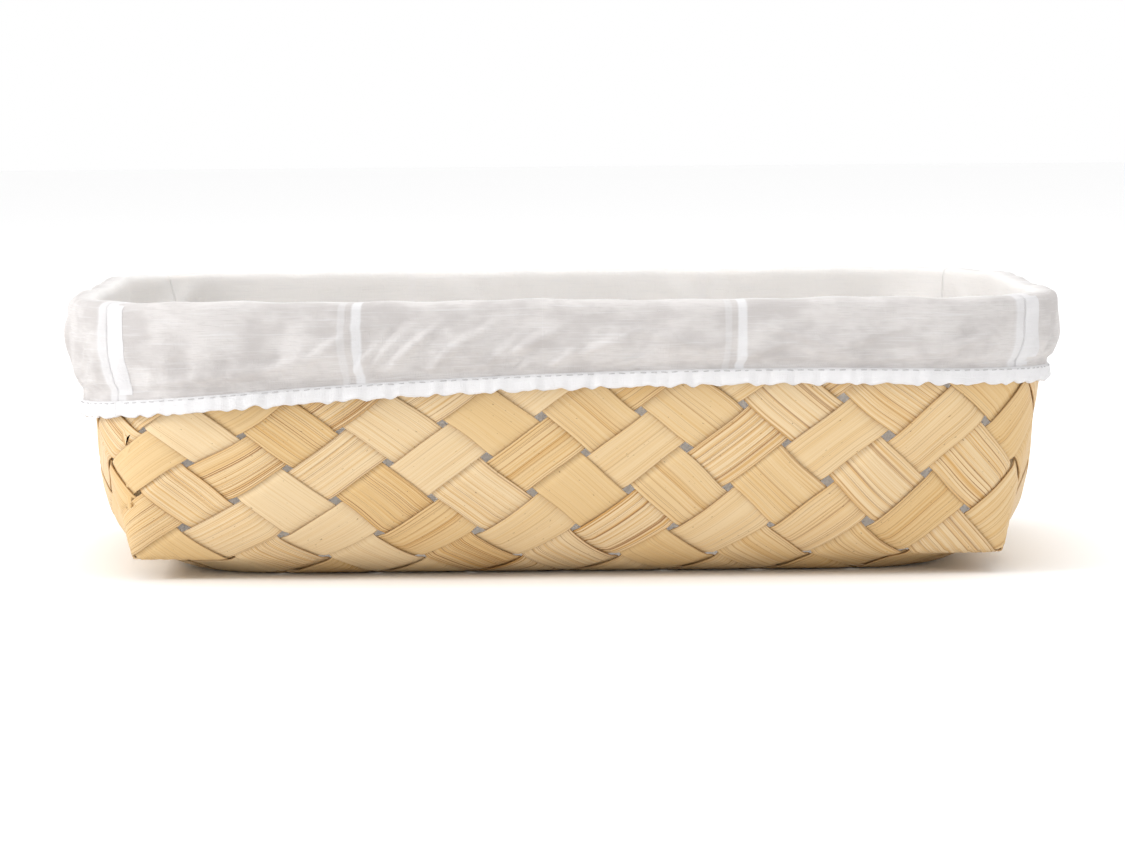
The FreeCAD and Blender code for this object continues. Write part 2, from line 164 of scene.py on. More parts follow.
def grid_quads(rows: int, columns: int, around: bool = False, turned: bool = False) -> Array:
    """Quads over a grid of points.

    Args:
        rows: number of rows of points.
        columns: number of points in a row.
        around: whether each row closes on itself.
        turned: whether the faces look the other way.

    Returns:
        (n, 4) point numbers.
    """
    across = np.arange(columns if around else columns - 1)
    row = np.arange(rows - 1)[:, None] * columns
    first, second = row + across, row + (across + 1) % columns
    quads = np.stack([first, second, second + columns, first + columns], axis=-1).reshape(-1, 4)
    return quads[:, ::-1] if turned else quads


def add_sheet(draft: MeshDraft, outer: Array, inner: Array, marks: dict[str, Array]) -> None:
    """Adds a thin sheet: its two faces and the raw edges between them.

    Args:
        draft: the mesh to add to.
        outer: (rows, columns, 3) points of the face that looks outward.
        inner: points of the other face.
        marks: attributes, each (rows, columns) numbers or (rows, columns, 3) vectors.
    """
    rows, columns = outer.shape[:2]

    def picked(pick: tuple, times: int) -> dict[str, Array]:
        """The attributes of some of the points.

        Args:
            pick: which rows and columns.
            times: how often each point is repeated.

        Returns:
            The attributes, one row for each point.
        """
        chosen = {}
        for name, values in marks.items():
            part = values[pick]
            flat = part.reshape(-1, 3) if values.ndim == 3 else part.ravel()
            chosen[name] = np.repeat(flat, times, axis=0)
        return chosen

    everything = (slice(None), slice(None))
    draft.add(outer, grid_quads(rows, columns), **picked(everything, 1))
    draft.add(inner, grid_quads(rows, columns, turned=True), **picked(everything, 1))
    borders = (((slice(None), 0), True), ((slice(None), columns - 1), False),
               ((0, slice(None)), False), ((rows - 1, slice(None)), True))
    for pick, flip in borders:
        rim = np.stack([outer[pick], inner[pick]], axis=1)
        draft.add(rim, grid_quads(len(rim), 2, turned=flip), **picked(pick, 2))


def surface_normals(points: Array) -> Array:
    """Unit normals of a grid of points, as the turn from its rows to its columns gives them.

    Args:
        points: (rows, columns, 3) places.

    Returns:
        (rows, columns, 3) unit vectors.
    """
    normal = np.cross(np.gradient(points, axis=1), np.gradient(points, axis=0))
    return normal / np.maximum(np.linalg.norm(normal, axis=-1, keepdims=True), 1e-12)


def weld(piece: bpy.types.Object) -> None:
    """Joins the points of a piece that lie on each other."""
    piece.modifiers.new("weld", "WELD").merge_threshold = WELD_DISTANCE


# ---------------------------------------------------------------- finishes
class Nodes:
    """Short calls for wiring up one material."""

    def __init__(self, name: str) -> None:
        """Starts an empty material with that name."""
        self.material = bpy.data.materials.new(name)
        self.material.use_nodes = True
        self.tree = self.material.node_tree
        self.tree.nodes.clear()
        self.output = self.tree.nodes.new("ShaderNodeOutputMaterial")

    def make(self, kind: str, inputs: dict | None = None, **settings: object) -> bpy.types.Node:
        """A node.

        Args:
            kind: Blender's name for it.
            inputs: values or other nodes' sockets, by socket name or number.
            **settings: the node's own properties.

        Returns:
            The node.
        """
        node = self.tree.nodes.new(kind)
        for key, value in settings.items():
            setattr(node, key, value)
        for key, value in (inputs or {}).items():
            if isinstance(value, bpy.types.NodeSocket):
                self.tree.links.new(value, node.inputs[key])
            else:
                node.inputs[key].default_value = value
        return node

    def read(self, attribute: str, output: str = "Fac") -> bpy.types.NodeSocket:
        """A point attribute."""
        return self.make("ShaderNodeAttribute", attribute_name=attribute).outputs[output]

    def maths(self, operation: str, *values: object) -> bpy.types.NodeSocket:
        """One sum."""
        return self.make("ShaderNodeMath", dict(enumerate(values)), operation=operation).outputs[0]

    def stretch(self, vector: bpy.types.NodeSocket, scale: tuple[float, float, float],
                shift: tuple[float, float, float] = (0, 0, 0)) -> bpy.types.NodeSocket:
        """A coordinate, scaled and then shifted."""
        node = self.make("ShaderNodeVectorMath", {0: vector, 1: scale, 2: shift}, operation="MULTIPLY_ADD")
        return node.outputs[0]

    def noise(self, vector: bpy.types.NodeSocket, detail: float = 2.0,
              rough: float = 0.5) -> bpy.types.NodeSocket:
        """Soft random values from 0 to 1."""
        inputs = {"Vector": vector, "Scale": 1.0, "Detail": detail, "Roughness": rough}
        return self.make("ShaderNodeTexNoise", inputs).outputs[0]

    def ramp(self, value: bpy.types.NodeSocket, low: float, high: float) -> bpy.types.NodeSocket:
        """A value brought from low..high to 0..1, smoothly."""
        inputs = {"Value": value, "From Min": low, "From Max": high}
        return self.make("ShaderNodeMapRange", inputs, interpolation_type="SMOOTHSTEP").outputs[0]

    def mix(self, share: object, first: object, second: object) -> bpy.types.NodeSocket:
        """A colour between two colours."""
        return self.make("ShaderNodeMix", {0: share, 6: first, 7: second}, data_type="RGBA").outputs[2]

    def bumps(self, height: bpy.types.NodeSocket, distance: float, strength: float) -> bpy.types.NodeSocket:
        """A normal disturbed by a height."""
        inputs = {"Height": height, "Distance": distance, "Strength": strength}
        return self.make("ShaderNodeBump", inputs).outputs[0]

    def finish(self, shader: bpy.types.NodeSocket) -> bpy.types.Material:
        """Ends the material on a shader."""
        self.tree.links.new(shader, self.output.inputs["Surface"])
        return self.material


def colour(red: float, green: float, blue: float) -> tuple[float, float, float, float]:
    """A display colour, 0 to 255, as a linear one."""
    linear = [((c / 255 + 0.055) / 1.055) ** 2.4 if c > 10 else c / 255 / 12.92 for c in (red, green, blue)]
    return (*linear, 1.0)


@dataclass(frozen=True)
class SplitBamboo:
    """Peeled bamboo strip: pale straw with golden fibre lines along it.

    The attribute "grain" gives the place across and along the strip and the strip's own number, "tone"
    its share of gold, "ridges" how strongly it is lined, and "edge" is 1 on its cut edges.  The cut edges are
    painted the dark line brown: partly the cut fibre's own colour, partly painted shadow along the strip's
    edges.
    """

    pale: tuple[float, ...] = colour(220, 196, 157)
    straw: tuple[float, ...] = colour(211, 180, 130)
    golden: tuple[float, ...] = colour(196, 149, 80)
    line: tuple[float, ...] = colour(134, 82, 34)
    speck: tuple[float, ...] = colour(96, 62, 34)

    def material(self, name: str) -> bpy.types.Material:
        """The finish as a material.

        Args:
            name: of the material.

        Returns:
            The material.
        """
        n = Nodes(name)
        place = n.read("grain", "Vector")
        tone, ridges, edge = n.read("tone"), n.read("ridges"), n.read("edge")
        cloud = n.noise(n.stretch(place, (90, 14, 1)), 2)
        streak = n.noise(n.stretch(place, (1300, 3.5, 3)), 3, 0.7)
        fibre = n.noise(n.stretch(place, (3100, 14, 5)), 3, 0.65)
        groove = n.noise(n.stretch(place, (2400, 4.0, 7), (0, 0, 9)), 2, 0.6)
        dots = n.noise(n.stretch(place, (1500, 620, 1), (4, 0, 0)), 1)
        gold = n.maths("ADD", n.maths("MULTIPLY", cloud, 0.7), n.maths("MULTIPLY", streak, 0.8))
        gold = n.maths("ADD", gold, n.maths("MULTIPLY", tone, 0.9))
        gold = n.ramp(gold, 0.72, 1.75)
        base = n.mix(gold, self.pale, self.straw)
        lined = n.ramp(streak, 0.44, 0.72)
        lined = n.maths("MULTIPLY", lined, n.maths("ADD", n.maths("MULTIPLY", ridges, 0.85), 0.15))
        base = n.mix(lined, base, self.golden)
        fine = n.maths("ADD", n.maths("MULTIPLY", ridges, 0.5), 0.26)
        fine = n.maths("MULTIPLY", n.ramp(fibre, 0.53, 0.66), fine)
        base = n.mix(fine, base, self.golden)
        cut = n.ramp(groove, 0.58, 0.63)
        dark = n.maths("MULTIPLY", cut, n.maths("ADD", n.maths("MULTIPLY", ridges, 0.6), 0.2))
        base = n.mix(dark, base, self.line)
        base = n.mix(n.maths("MULTIPLY", n.ramp(dots, 0.735, 0.78), 0.6), base, self.speck)
        # painted shadow: the cut edges take the dark line brown, partly the cut fibre's own colour, partly
        # shadow along the strip edges
        base = n.mix(n.maths("MULTIPLY", edge, 0.75), base, self.line)
        height = n.maths("ADD", n.maths("MULTIPLY", fibre, 0.35), n.maths("MULTIPLY", streak, 0.5))
        height = n.maths("SUBTRACT", height, n.maths("MULTIPLY", cut, n.maths("MULTIPLY", ridges, 0.6)))
        shader = n.make("ShaderNodeBsdfPrincipled", {
            "Base Color": base,
            "Roughness": n.maths("ADD", n.maths("MULTIPLY", fibre, 0.25), 0.42),
            "Specular IOR Level": 0.32,
            "Normal": n.bumps(height, 0.00022, 0.55),
        })
        return n.finish(shader.outputs[0])


class Cloth(Enum):
    """The liner's cloths."""

    PANEL = "panel"
    HEM = "hem"


@dataclass(frozen=True)
class ThinCotton:
    """Thin off-white cotton with a visible weave and woven-in white stripes.

    The attribute "threads" gives the place around and down the cloth, "stripe" how far right of the nearest
    stripe's middle it is, "inner" is 1 inside the basket, and "doubled" is near 1 where layers lie on each
    other.  A stripe is a wide band with a fainter, narrower partner on its left.  Where "inner" is 1, the
    cloth
    and its stripes are painted whiter: painted light for the brighter inside of the basket.
    """

    kind: Cloth = Cloth.PANEL
    plain: tuple[float, ...] = colour(227, 223, 221)
    shade: tuple[float, ...] = colour(206, 201, 199)
    # painted light: the next two colours are whiter copies of the stripe and the cloth, used inside the
    # basket
    bright: tuple[float, ...] = colour(254, 253, 253)
    painted_light_inside: tuple[float, ...] = colour(254, 253, 252)
    white: tuple[float, ...] = colour(243, 243, 245)

    def material(self, name: str) -> bpy.types.Material:
        """The finish as a material.

        Args:
            name: of the material.

        Returns:
            The material.
        """
        n = Nodes(name)
        place = n.read("threads", "Vector")
        stripe, doubled, inner = n.read("stripe"), n.read("doubled"), n.read("inner")
        weft = n.noise(n.stretch(place, (160, 3600, 1)), 2, 0.6)
        warp = n.noise(n.stretch(place, (3600, 160, 1)), 2, 0.6)
        slub = n.noise(n.stretch(place, (60, 1500, 1)), 2, 0.5)
        patch = n.noise(n.stretch(place, (45, 70, 1)), 3, 0.6)
        base = n.mix(n.maths("MULTIPLY", n.ramp(patch, 0.4, 0.62), 0.8), self.plain, self.shade)
        base = n.mix(n.maths("MULTIPLY", n.ramp(weft, 0.48, 0.72), 0.55), base, self.shade)
        # painted light: inside the basket the same cloth is coloured near white, for the brighter light there
        base = n.mix(inner, base, self.painted_light_inside)
        base = n.mix(n.maths("MULTIPLY", n.ramp(slub, 0.52, 0.75), 0.3), base, self.white)
        band = n.ramp(n.maths("ABSOLUTE", n.maths("SUBTRACT", stripe, 2.0 * MM)), 1.8 * MM, 1.0 * MM)
        partner = n.ramp(n.maths("ABSOLUTE", n.maths("ADD", stripe, 2.4 * MM)), 1.4 * MM, 0.7 * MM)
        bands = n.maths("MAXIMUM", n.maths("MULTIPLY", band, 0.72), n.maths("MULTIPLY", partner, 0.3))
        # painted light: inside the basket the stripes and doubled layers take the brighter white
        base = n.mix(n.maths("MAXIMUM", bands, n.maths("MULTIPLY", doubled, 0.75)),
                     base, n.mix(inner, self.white, self.bright))
        height = n.maths("ADD", n.maths("ADD", weft, warp), n.maths("MULTIPLY", slub, 0.7))
        normal = n.bumps(height, 0.0002, 0.85)
        skin = n.make("ShaderNodeBsdfPrincipled", {
            "Base Color": base,
            "Roughness": n.maths("ADD", n.maths("MULTIPLY", weft, 0.1), 0.8),
            "Specular IOR Level": 0.2,
            "Sheen Weight": 0.1,
            "Sheen Roughness": 0.5,
            "Normal": normal,
        })
        through = n.make("ShaderNodeBsdfTranslucent", {"Color": base, "Normal": normal})
        if self.kind is Cloth.PANEL:
            share = n.maths("ADD", n.maths("MULTIPLY", inner, 0.2), 0.22)
        else:
            share = n.maths("MULTIPLY", doubled, 0.12)
        both = n.make("ShaderNodeMixShader", {0: share, 1: skin.outputs[0], 2: through.outputs[0]})
        return n.finish(both.outputs[0])


@dataclass(frozen=True)
class Thread:
    """Twisted cotton thread."""

    tint: tuple[float, ...] = colour(172, 170, 171)
    light: tuple[float, ...] = colour(208, 207, 208)

    def material(self, name: str) -> bpy.types.Material:
        """The finish as a material.

        Args:
            name: of the material.

        Returns:
            The material.
        """
        n = Nodes(name)
        place = n.make("ShaderNodeTexCoord").outputs["Object"]
        twist = n.noise(n.stretch(place, (3000, 3000, 3000)), 2)
        shader = n.make("ShaderNodeBsdfPrincipled", {
            "Base Color": n.mix(twist, self.tint, self.light), "Roughness": 0.75,
            "Normal": n.bumps(twist, 0.0001, 0.6)})
        return n.finish(shader.outputs[0])


@dataclass(frozen=True)
class WovenElastic:
    """Narrow white elastic with ribs across it."""

    rib: tuple[float, ...] = colour(238, 236, 232)
    gap: tuple[float, ...] = colour(196, 192, 186)

    def material(self, name: str) -> bpy.types.Material:
        """The finish as a material.

        Args:
            name: of the material.

        Returns:
            The material.
        """
        n = Nodes(name)
        ribs = n.noise(n.stretch(n.read("threads", "Vector"), (1400, 90, 1)), 2, 0.5)
        shader = n.make("ShaderNodeBsdfPrincipled", {
            "Base Color": n.mix(n.ramp(ribs, 0.42, 0.6), self.gap, self.rib),
            "Roughness": n.maths("ADD", n.maths("MULTIPLY", ribs, 0.2), 0.6),
            "Specular IOR Level": 0.3,
            "Normal": n.bumps(ribs, 0.0003, 0.8),
        })
        return n.finish(shader.outputs[0])


@dataclass(frozen=True)
class Lath:
    """Bent bamboo lath of the rim, with its fibres along the rim."""

    pale: tuple[float, ...] = colour(230, 200, 145)
    golden: tuple[float, ...] = colour(196, 146, 76)

    def material(self, name: str) -> bpy.types.Material:
        """The finish as a material.

        Args:
            name: of the material.

        Returns:
            The material.
        """
        n = Nodes(name)
        place = n.make("ShaderNodeTexCoord").outputs["Object"]
        fibre = n.noise(n.stretch(place, (18, 18, 2600)), 3, 0.6)
        streak = n.noise(n.stretch(place, (8, 8, 420)), 2, 0.6)
        share = n.ramp(n.maths("ADD", fibre, streak), 0.8, 1.3)
        shader = n.make("ShaderNodeBsdfPrincipled", {
            "Base Color": n.mix(share, self.pale, self.golden),
            "Roughness": n.maths("ADD", n.maths("MULTIPLY", streak, 0.2), 0.4),
            "Normal": n.bumps(fibre, 0.0002, 0.5)})
        return n.finish(shader.outputs[0])


@dataclass(frozen=True)
class TackSteel:
    """Plain steel of the tacks, slightly dulled."""

    bright: tuple[float, ...] = colour(190, 190, 188)
    dull: tuple[float, ...] = colour(128, 124, 118)

    def material(self, name: str) -> bpy.types.Material:
        """The finish as a material.

        Args:
            name: of the material.

        Returns:
            The material.
        """
        n = Nodes(name)
        place = n.make("ShaderNodeTexCoord").outputs["Object"]
        wear = n.noise(n.stretch(place, (900, 900, 900)), 3)
        shader = n.make("ShaderNodeBsdfPrincipled", {
            "Base Color": n.mix(wear, self.bright, self.dull), "Metallic": 1.0,
            "Roughness": n.maths("ADD", n.maths("MULTIPLY", wear, 0.35), 0.25),
            "Normal": n.bumps(wear, 0.00008, 0.5)})
        return n.finish(shader.outputs[0])


# ---------------------------------------------------------------- the basket's surface
@dataclass(frozen=True)
class Weave:
    """The middle surface that the strips weave about, and its rounded level outlines.

    Plan coordinates count square cells from the front left corner of the base.  A wall is folded down from
    each side: around counts cells along the fold, and rows counts cells up from it.
    """

    cell: float
    rim_out: float
    rim_height: float
    upright_from: float
    cells_long: int = 9
    cells_wide: int = 6
    grain_twist: float = 0.12
    row_closing: float = 0.815
    row_tilt: float = 0.165
    base_level: float = 1.1 * MM
    corner_lift: float = 6.4 * MM
    corner_dish_share: float = 0.18
    wall_lean: float = 0.26
    corner_rounding: float = 2.85
    belly_start: float = math.radians(32)
    belly_length: float = 19 * MM
    corner_fold_length: float = 7 * MM
    belly_fade_from: float = 25 * MM
    corner_reach: float = 45 * MM
    band_outside: float = 2.65 * MM

    @classmethod
    def from_frame(cls) -> "Weave":
        """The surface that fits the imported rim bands.

        Returns:
            The surface.
        """
        low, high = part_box("rim_band_outer")
        half_x, half_y = (high[0] - low[0]) / 2, (high[1] - low[1]) / 2
        cell = (half_x - half_y) / ((cls.cells_long - cls.cells_wide) / 2)
        rim_out = half_x - cls.cells_long * cell / 2 - cls.band_outside
        fold = cls.base_level + cls.corner_lift
        return cls(cell=cell, rim_out=rim_out, rim_height=high[2],
                   upright_from=fold + rim_out / cls.wall_lean)

    @property
    def half(self) -> Array:
        """Half the base's length and width."""
        return np.array([self.cells_long, self.cells_wide]) * self.cell / 2

    @property
    def perimeter_cells(self) -> int:
        """Cells around the fold."""
        return 2 * (self.cells_long + self.cells_wide)

    @property
    def fold_level(self) -> float:
        """Height of the fold between the base and the walls."""
        return self.base_level + self.corner_lift

    @property
    def rim_radius(self) -> float:
        """Corner radius of the rim's middle line."""
        return self.corner_rounding * self.rim_out

    def base(self, across: Array, along: Array) -> Array:
        """Points of the base for plan coordinates.

        Args:
            across: cells from the left edge.
            along: cells from the front edge.

        Returns:
            (..., 3) points.
        """
        x, y = across * self.cell, along * self.cell
        to_side = np.minimum(x, 2 * self.half[0] - x)
        to_front = np.minimum(y, 2 * self.half[1] - y)
        width = 2 * self.corner_lift / math.tan(self.belly_start)

        def dish(distance: Array) -> Array:
            """How far the base has come down at a distance from an edge, 0 to 1."""
            return 1 - np.maximum(0, 1 - distance / width) ** 2

        def share(distance: Array) -> Array:
            """How much of the dish there is at a distance from a corner."""
            least = self.corner_dish_share
            return least + (1 - least) * smooth(distance / self.corner_reach)

        drop = dish(to_side * share(to_front)) * dish(to_front * share(to_side))
        return np.stack([x - self.half[0], y - self.half[1],
                         self.base_level + self.corner_lift * (1 - drop)], axis=-1)

    def outline(self, side: Array, run: Array, out: Array, radius: Array) -> tuple[Array, Array]:
        """Points on level rounded rectangles and their outward directions, in plan.

        Args:
            side: 0 front, 1 right, 2 back, 3 left.
            run: 0 to 1 between the middles of the side's two corner arcs, counter-clockwise.
            out: how far the outline is outside the fold line.
            radius: its corner radius.

        Returns:
            (..., 2) places and (..., 2) unit directions.
        """
        half = np.where(side % 2 == 0, self.half[0], self.half[1]) + out
        straight, arc = half - radius, radius * math.pi / 4
        travel = run * 2 * (straight + arc) - arc - straight
        sign = np.sign(travel)
        turn = np.maximum(0, np.abs(travel) - straight) / np.maximum(radius, 1e-9)
        turned = turn > 0
        along = np.where(turned, sign * (straight + radius * np.sin(turn)), travel)
        outward = np.where(side % 2 == 0, self.half[1], self.half[0]) + out - radius * (1 - np.cos(turn))
        tilt, level = sign * np.sin(turn), np.cos(turn)
        angle = side * math.pi / 2
        cosine, sine = np.cos(angle), np.sin(angle)
        places = np.stack([along * cosine + outward * sine, along * sine - outward * cosine], axis=-1)
        ways = np.stack([tilt * cosine + level * sine, tilt * sine - level * cosine], axis=-1)
        return places, ways

    def wall(self, around: Array, rows: Array) -> Array:
        """Points of the walls.

        Args:
            around: cells along the fold.
            rows: cells up from it.

        Returns:
            (..., 3) points.
        """
        place = (around + self.grain_twist * rows) % self.perimeter_cells
        starts = np.array([0, self.cells_long, self.cells_long + self.cells_wide,
                           2 * self.cells_long + self.cells_wide])
        side = np.clip(np.searchsorted(starts, place, side="right") - 1, 0, 3)
        cells = np.where(side % 2 == 0, self.cells_long, self.cells_wide)
        place = place - starts[side]
        run = place / cells
        to_right = np.choose(side, [run, np.ones_like(run), 1 - run, np.zeros_like(run)])
        closing = self.row_closing * (1 + self.row_tilt * (2 * to_right - 1))
        middle = smooth(np.minimum(place, cells - place) * self.cell / self.corner_reach)
        full_out, up = self.belly(rows * closing * self.cell, middle)
        height = self.fold_level + up
        out = self.wall_lean * (np.minimum(height, self.upright_from) - self.fold_level)
        fade = 1 - smooth((height - self.belly_fade_from) / (self.upright_from - self.belly_fade_from))
        belly = np.maximum(0, full_out - self.wall_lean * up) * fade
        places, ways = self.outline(side, run, out, self.corner_rounding * out)
        return np.concatenate([places + ways * belly[..., None], height[..., None]], axis=-1)

    def belly(self, length: Array, middle: Array) -> tuple[Array, Array]:
        """How far out and up a wall has come after a length along it from the fold.

        Args:
            length: along the wall.
            middle: 0 at a corner of the basket, 1 away from it.

        Returns:
            The distances out and up.
        """
        lean = math.atan2(1, self.wall_lean)
        start = lean - middle * (lean - self.belly_start)
        curve = self.corner_fold_length + middle * (self.belly_length - self.corner_fold_length)
        radius = curve / np.maximum(lean - start, 1e-6)
        angle = start + (lean - start) * np.minimum(1, length / curve)
        straight = np.maximum(0, length - curve)
        out = radius * (np.sin(angle) - np.sin(start)) + straight * math.cos(lean)
        up = radius * (np.cos(start) - np.cos(angle)) + straight * math.sin(lean)
        return out, up


class Lay(Enum):
    """Which way a strip runs over the base, seen from above."""

    RISING = "rising"
    FALLING = "falling"


# ---------------------------------------------------------------- plaited strips
@dataclass
class PlaitStrip:
    """One ribbon of split bamboo, from the rim down a wall, across the base and up again.

    Args:
        weave: the surface that it weaves about.
        lay: which way it runs.
        number: from the left, starting at 0.
        pitch_share: full width, as a share of the pitch.
        thickness: of the strip.
        rise: of its middle from the weave's middle surface, where it lies outermost or innermost.
        crown: how much higher its middle is than its edges.
        flatness: how abruptly it changes from outside to inside.
        narrowest: least width, as a share of the full one.
        reach_past_base: how far past the base, in steps, the rim is looked for.
        level_over: steps over which the rows turn level with the rim.
        settled_below: height below which the strip is let down onto the table.
        base_clearance: left under the lowest strips.
        columns: places of the points across it, as shares of its width.
        dive_rows: places of the rows around each change of side, in steps.
    """

    weave: Weave
    lay: Lay
    number: int
    pitch_share: float = 0.918
    thickness: float = 0.55 * MM
    rise: float = 0.47 * MM
    crown: float = 0.07 * MM
    flatness: float = 7.5
    narrowest: float = 0.945
    reach_past_base: float = 11.0
    level_over: float = 1.4
    settled_below: float = 30 * MM
    base_clearance: float = 0.05 * MM
    columns: tuple[float, ...] = (-0.5, -0.485, -0.44, -0.36, -0.25, -0.125, 0,
                                  0.125, 0.25, 0.36, 0.44, 0.485, 0.5)
    dive_rows: tuple[float, ...] = (-0.5, -0.36, -0.25, -0.17, -0.1, -0.04,
                                    0.04, 0.1, 0.17, 0.25, 0.36)

    def __post_init__(self) -> None:
        """Works out the edges that the strip leaves the base by."""
        weave = self.weave
        rising = self.lay is Lay.RISING
        self.line = self.number - (weave.cells_wide if rising else 0)
        middle = self.line + 0.5
        long, wide = weave.cells_long, weave.cells_wide
        if rising:
            self.edges = ("front" if middle > 0 else "left", "right" if long - middle < wide else "back")
            self.first = abs(middle) - 0.5
            self.last = 2 * long - middle - 0.5 if long - middle < wide else 2 * wide + middle - 0.5
        else:
            self.edges = ("left" if middle < wide else "back", "front" if middle < long else "right")
            self.first = -middle - 0.5 if middle < wide else middle - 2 * wide - 0.5
            self.last = middle - 0.5 if middle < long else 2 * long - middle - 0.5
        self.seed = 3 * self.number + (1 if rising else 1001)
        self.random = np.random.default_rng(self.seed)

    @property
    def node(self) -> str:
        """The CAD node that this strip stands for."""
        return f"strip_{self.lay.value}_{self.number + 1:02d}"

    def plan(self, step: Array, offset: Array) -> Array:
        """Points of the middle surface, step pitches along the strip and offset pitches across it.

        Args:
            step: pitches along the strip.
            offset: pitches across it.

        Returns:
            (..., 3) points.
        """
        own, other = self.line + 0.5 + offset, step + 0.5
        across = (own + other) / 2
        along = (other - own) / 2 if self.lay is Lay.RISING else (own - other) / 2
        weave = self.weave
        places = weave.base(np.clip(across, 0, weave.cells_long), np.clip(along, 0, weave.cells_wide))
        walls = {
            "front": (across, -along),
            "right": (weave.cells_long + along, across - weave.cells_long),
            "back": (2 * weave.cells_long + weave.cells_wide - across, along - weave.cells_wide),
            "left": (weave.perimeter_cells - along, -across),
        }
        for edge in self.edges:
            around, rows = walls[edge]
            wall = weave.wall(around, np.maximum(rows, 0))
            places = np.where((rows > 0)[..., None], wall, places)
        return places

    def wave(self, step: Array) -> Array:
        """Which side of the middle surface the strip is on: 1 outside, -1 inside.

        Args:
            step: pitches along the strip.

        Returns:
            The side, which changes smoothly.
        """
        outside_at = self.line % 2 if self.lay is Lay.RISING else (self.line + 1) % 2
        swing = np.cos(math.pi * (step - outside_at))
        return np.tanh(self.flatness * swing) / math.tanh(self.flatness)

    def steps(self, offsets: Array) -> Array:
        """Steps of every row and column, with the two ends level with the rim.

        Args:
            offsets: places of the columns, in pitches across the strip.

        Returns:
            (rows, columns) pitches along the strip.
        """
        fine = np.arange(self.first - self.reach_past_base, self.last + self.reach_past_base, 0.02)
        heights = self.plan(fine[:, None], offsets[None, :])[..., 2]
        middle = len(fine) // 2
        ends = []
        for column in heights.T:
            low = np.interp(-self.weave.rim_height, -column[:middle], fine[:middle])
            high = np.interp(self.weave.rim_height, column[middle:], fine[middle:])
            ends.append((low, high))
        lows, highs = np.array(ends).T
        first, last = lows.mean(), highs.mean()
        dives = np.arange(math.floor(first), math.ceil(last) + 1) + 0.5
        rows = (dives[:, None] + np.array(self.dive_rows)).ravel()
        rows = np.concatenate([[first], rows[(rows > first + 0.03) & (rows < last - 0.03)], [last]])
        near_first = 1 - smooth((rows - first) / self.level_over)
        near_last = 1 - smooth((last - rows) / self.level_over)
        return rows[:, None] + near_first[:, None] * (lows - first) + near_last[:, None] * (highs - last)

    def build(self) -> bpy.types.Object:
        """Makes the strip.

        Returns:
            The strip's object.
        """
        columns = np.array(self.columns)
        width = self.pitch_share * self.random.uniform(self.narrowest, 1.0)
        offsets = columns * width
        step = self.steps(offsets)
        pitch = self.weave.cell / math.sqrt(2)
        waver = Drift(self.seed, (2.3, 3.7, 6.1))
        breadth = 1 - 0.022 * (1 + Drift(self.seed + 1, (1.1, 2.9)).at(step))
        offset = offsets[None, :] * breadth + 0.019 * waver.at(step)
        middle = self.plan(step, offset)
        settle = self.weave.base_level - self.rise - self.thickness / 2 - self.base_clearance
        middle[..., 2] -= settle * (1 - smooth(middle[..., 2] / self.settled_below))
        probe = 0.05
        forward = self.plan(step + probe, offset) - self.plan(step - probe, offset)
        sideways = self.plan(step, offset + probe) - self.plan(step, offset - probe)
        normal = np.cross(forward, sideways) * (1 if self.lay is Lay.RISING else -1)
        normal /= np.linalg.norm(normal, axis=-1, keepdims=True)
        side = self.wave(step)
        arch = self.crown * (1 - (2 * columns[None, :]) ** 2) * np.maximum(side, 0)
        warp = 0.05 * MM * Drift(self.seed + 2, (0.21, 0.37)).at(columns[None, :] + 0.03 * step)
        centre = self.rise * side + arch + warp - self.crown * 0.4 * np.maximum(side, 0)
        soften = 0.1 * MM * (np.abs(columns[None, :]) > 0.49)
        outer = middle + normal * (centre + self.thickness / 2 - soften)[..., None]
        inner = middle - normal * (self.thickness / 2 - centre - soften)[..., None]
        for face in (outer, inner):
            face[..., 2] = np.maximum(face[..., 2], 0)
        return self._mesh(outer, inner, step * pitch, np.broadcast_to(columns * width * pitch, step.shape))

    def _mesh(self, outer: Array, inner: Array, along: Array, across: Array) -> bpy.types.Object:
        """Joins the two faces with their edges and ends.

        Args:
            outer: (rows, columns, 3) points of the face that looks out of the basket.
            inner: points of the other face.
            along: distance along the strip of each point.
            across: distance across it.

        Returns:
            The strip's object.
        """
        rows, count = along.shape
        flip = self.lay is Lay.FALLING
        tone, ridges = self.random.uniform(0, 1), self.random.choice([0.1, 0.35, 0.6, 0.95])
        draft = MeshDraft()

        def attributes(row: Array, column: Array, edge: float) -> dict[str, Array]:
            """The strip's attributes at some rows and columns.

            Args:
                row: numbers of the rows.
                column: numbers of the columns.
                edge: 1 on the cut edges, 0 elsewhere.

            Returns:
                One array for each attribute.
            """
            size = row.size
            own = np.full(row.shape, self.seed % 97)
            grain = np.stack([across[row, column], along[row, column], own], -1)
            return {"grain": grain.reshape(size, 3), "tone": np.full(size, tone),
                    "ridges": np.full(size, ridges), "edge": np.full(size, edge)}

        row, column = np.meshgrid(np.arange(rows), np.arange(count), indexing="ij")
        draft.add(outer, grid_quads(rows, count, turned=not flip), **attributes(row, column, 0))
        draft.add(inner, grid_quads(rows, count, turned=flip), **attributes(row, column, 0))
        for edge_column, turned in ((0, flip), (count - 1, not flip)):
            rim = np.stack([outer[:, edge_column], inner[:, edge_column]], axis=1)
            pick = np.repeat(np.arange(rows)[:, None], 2, axis=1)
            draft.add(rim, grid_quads(rows, 2, turned=turned),
                      **attributes(pick, np.full_like(pick, edge_column), 1))
        for edge_row, turned in ((0, not flip), (rows - 1, flip)):
            end = np.stack([outer[edge_row], inner[edge_row]], axis=1)
            pick = np.repeat(np.arange(count)[:, None], 2, axis=1)
            draft.add(end, grid_quads(count, 2, turned=turned),
                      **attributes(np.full_like(pick, edge_row), pick, 1))
        made = draft.build(f"plait_{self.lay.value}_{self.number + 1:02d}", 35)
        weld(made)
        return made


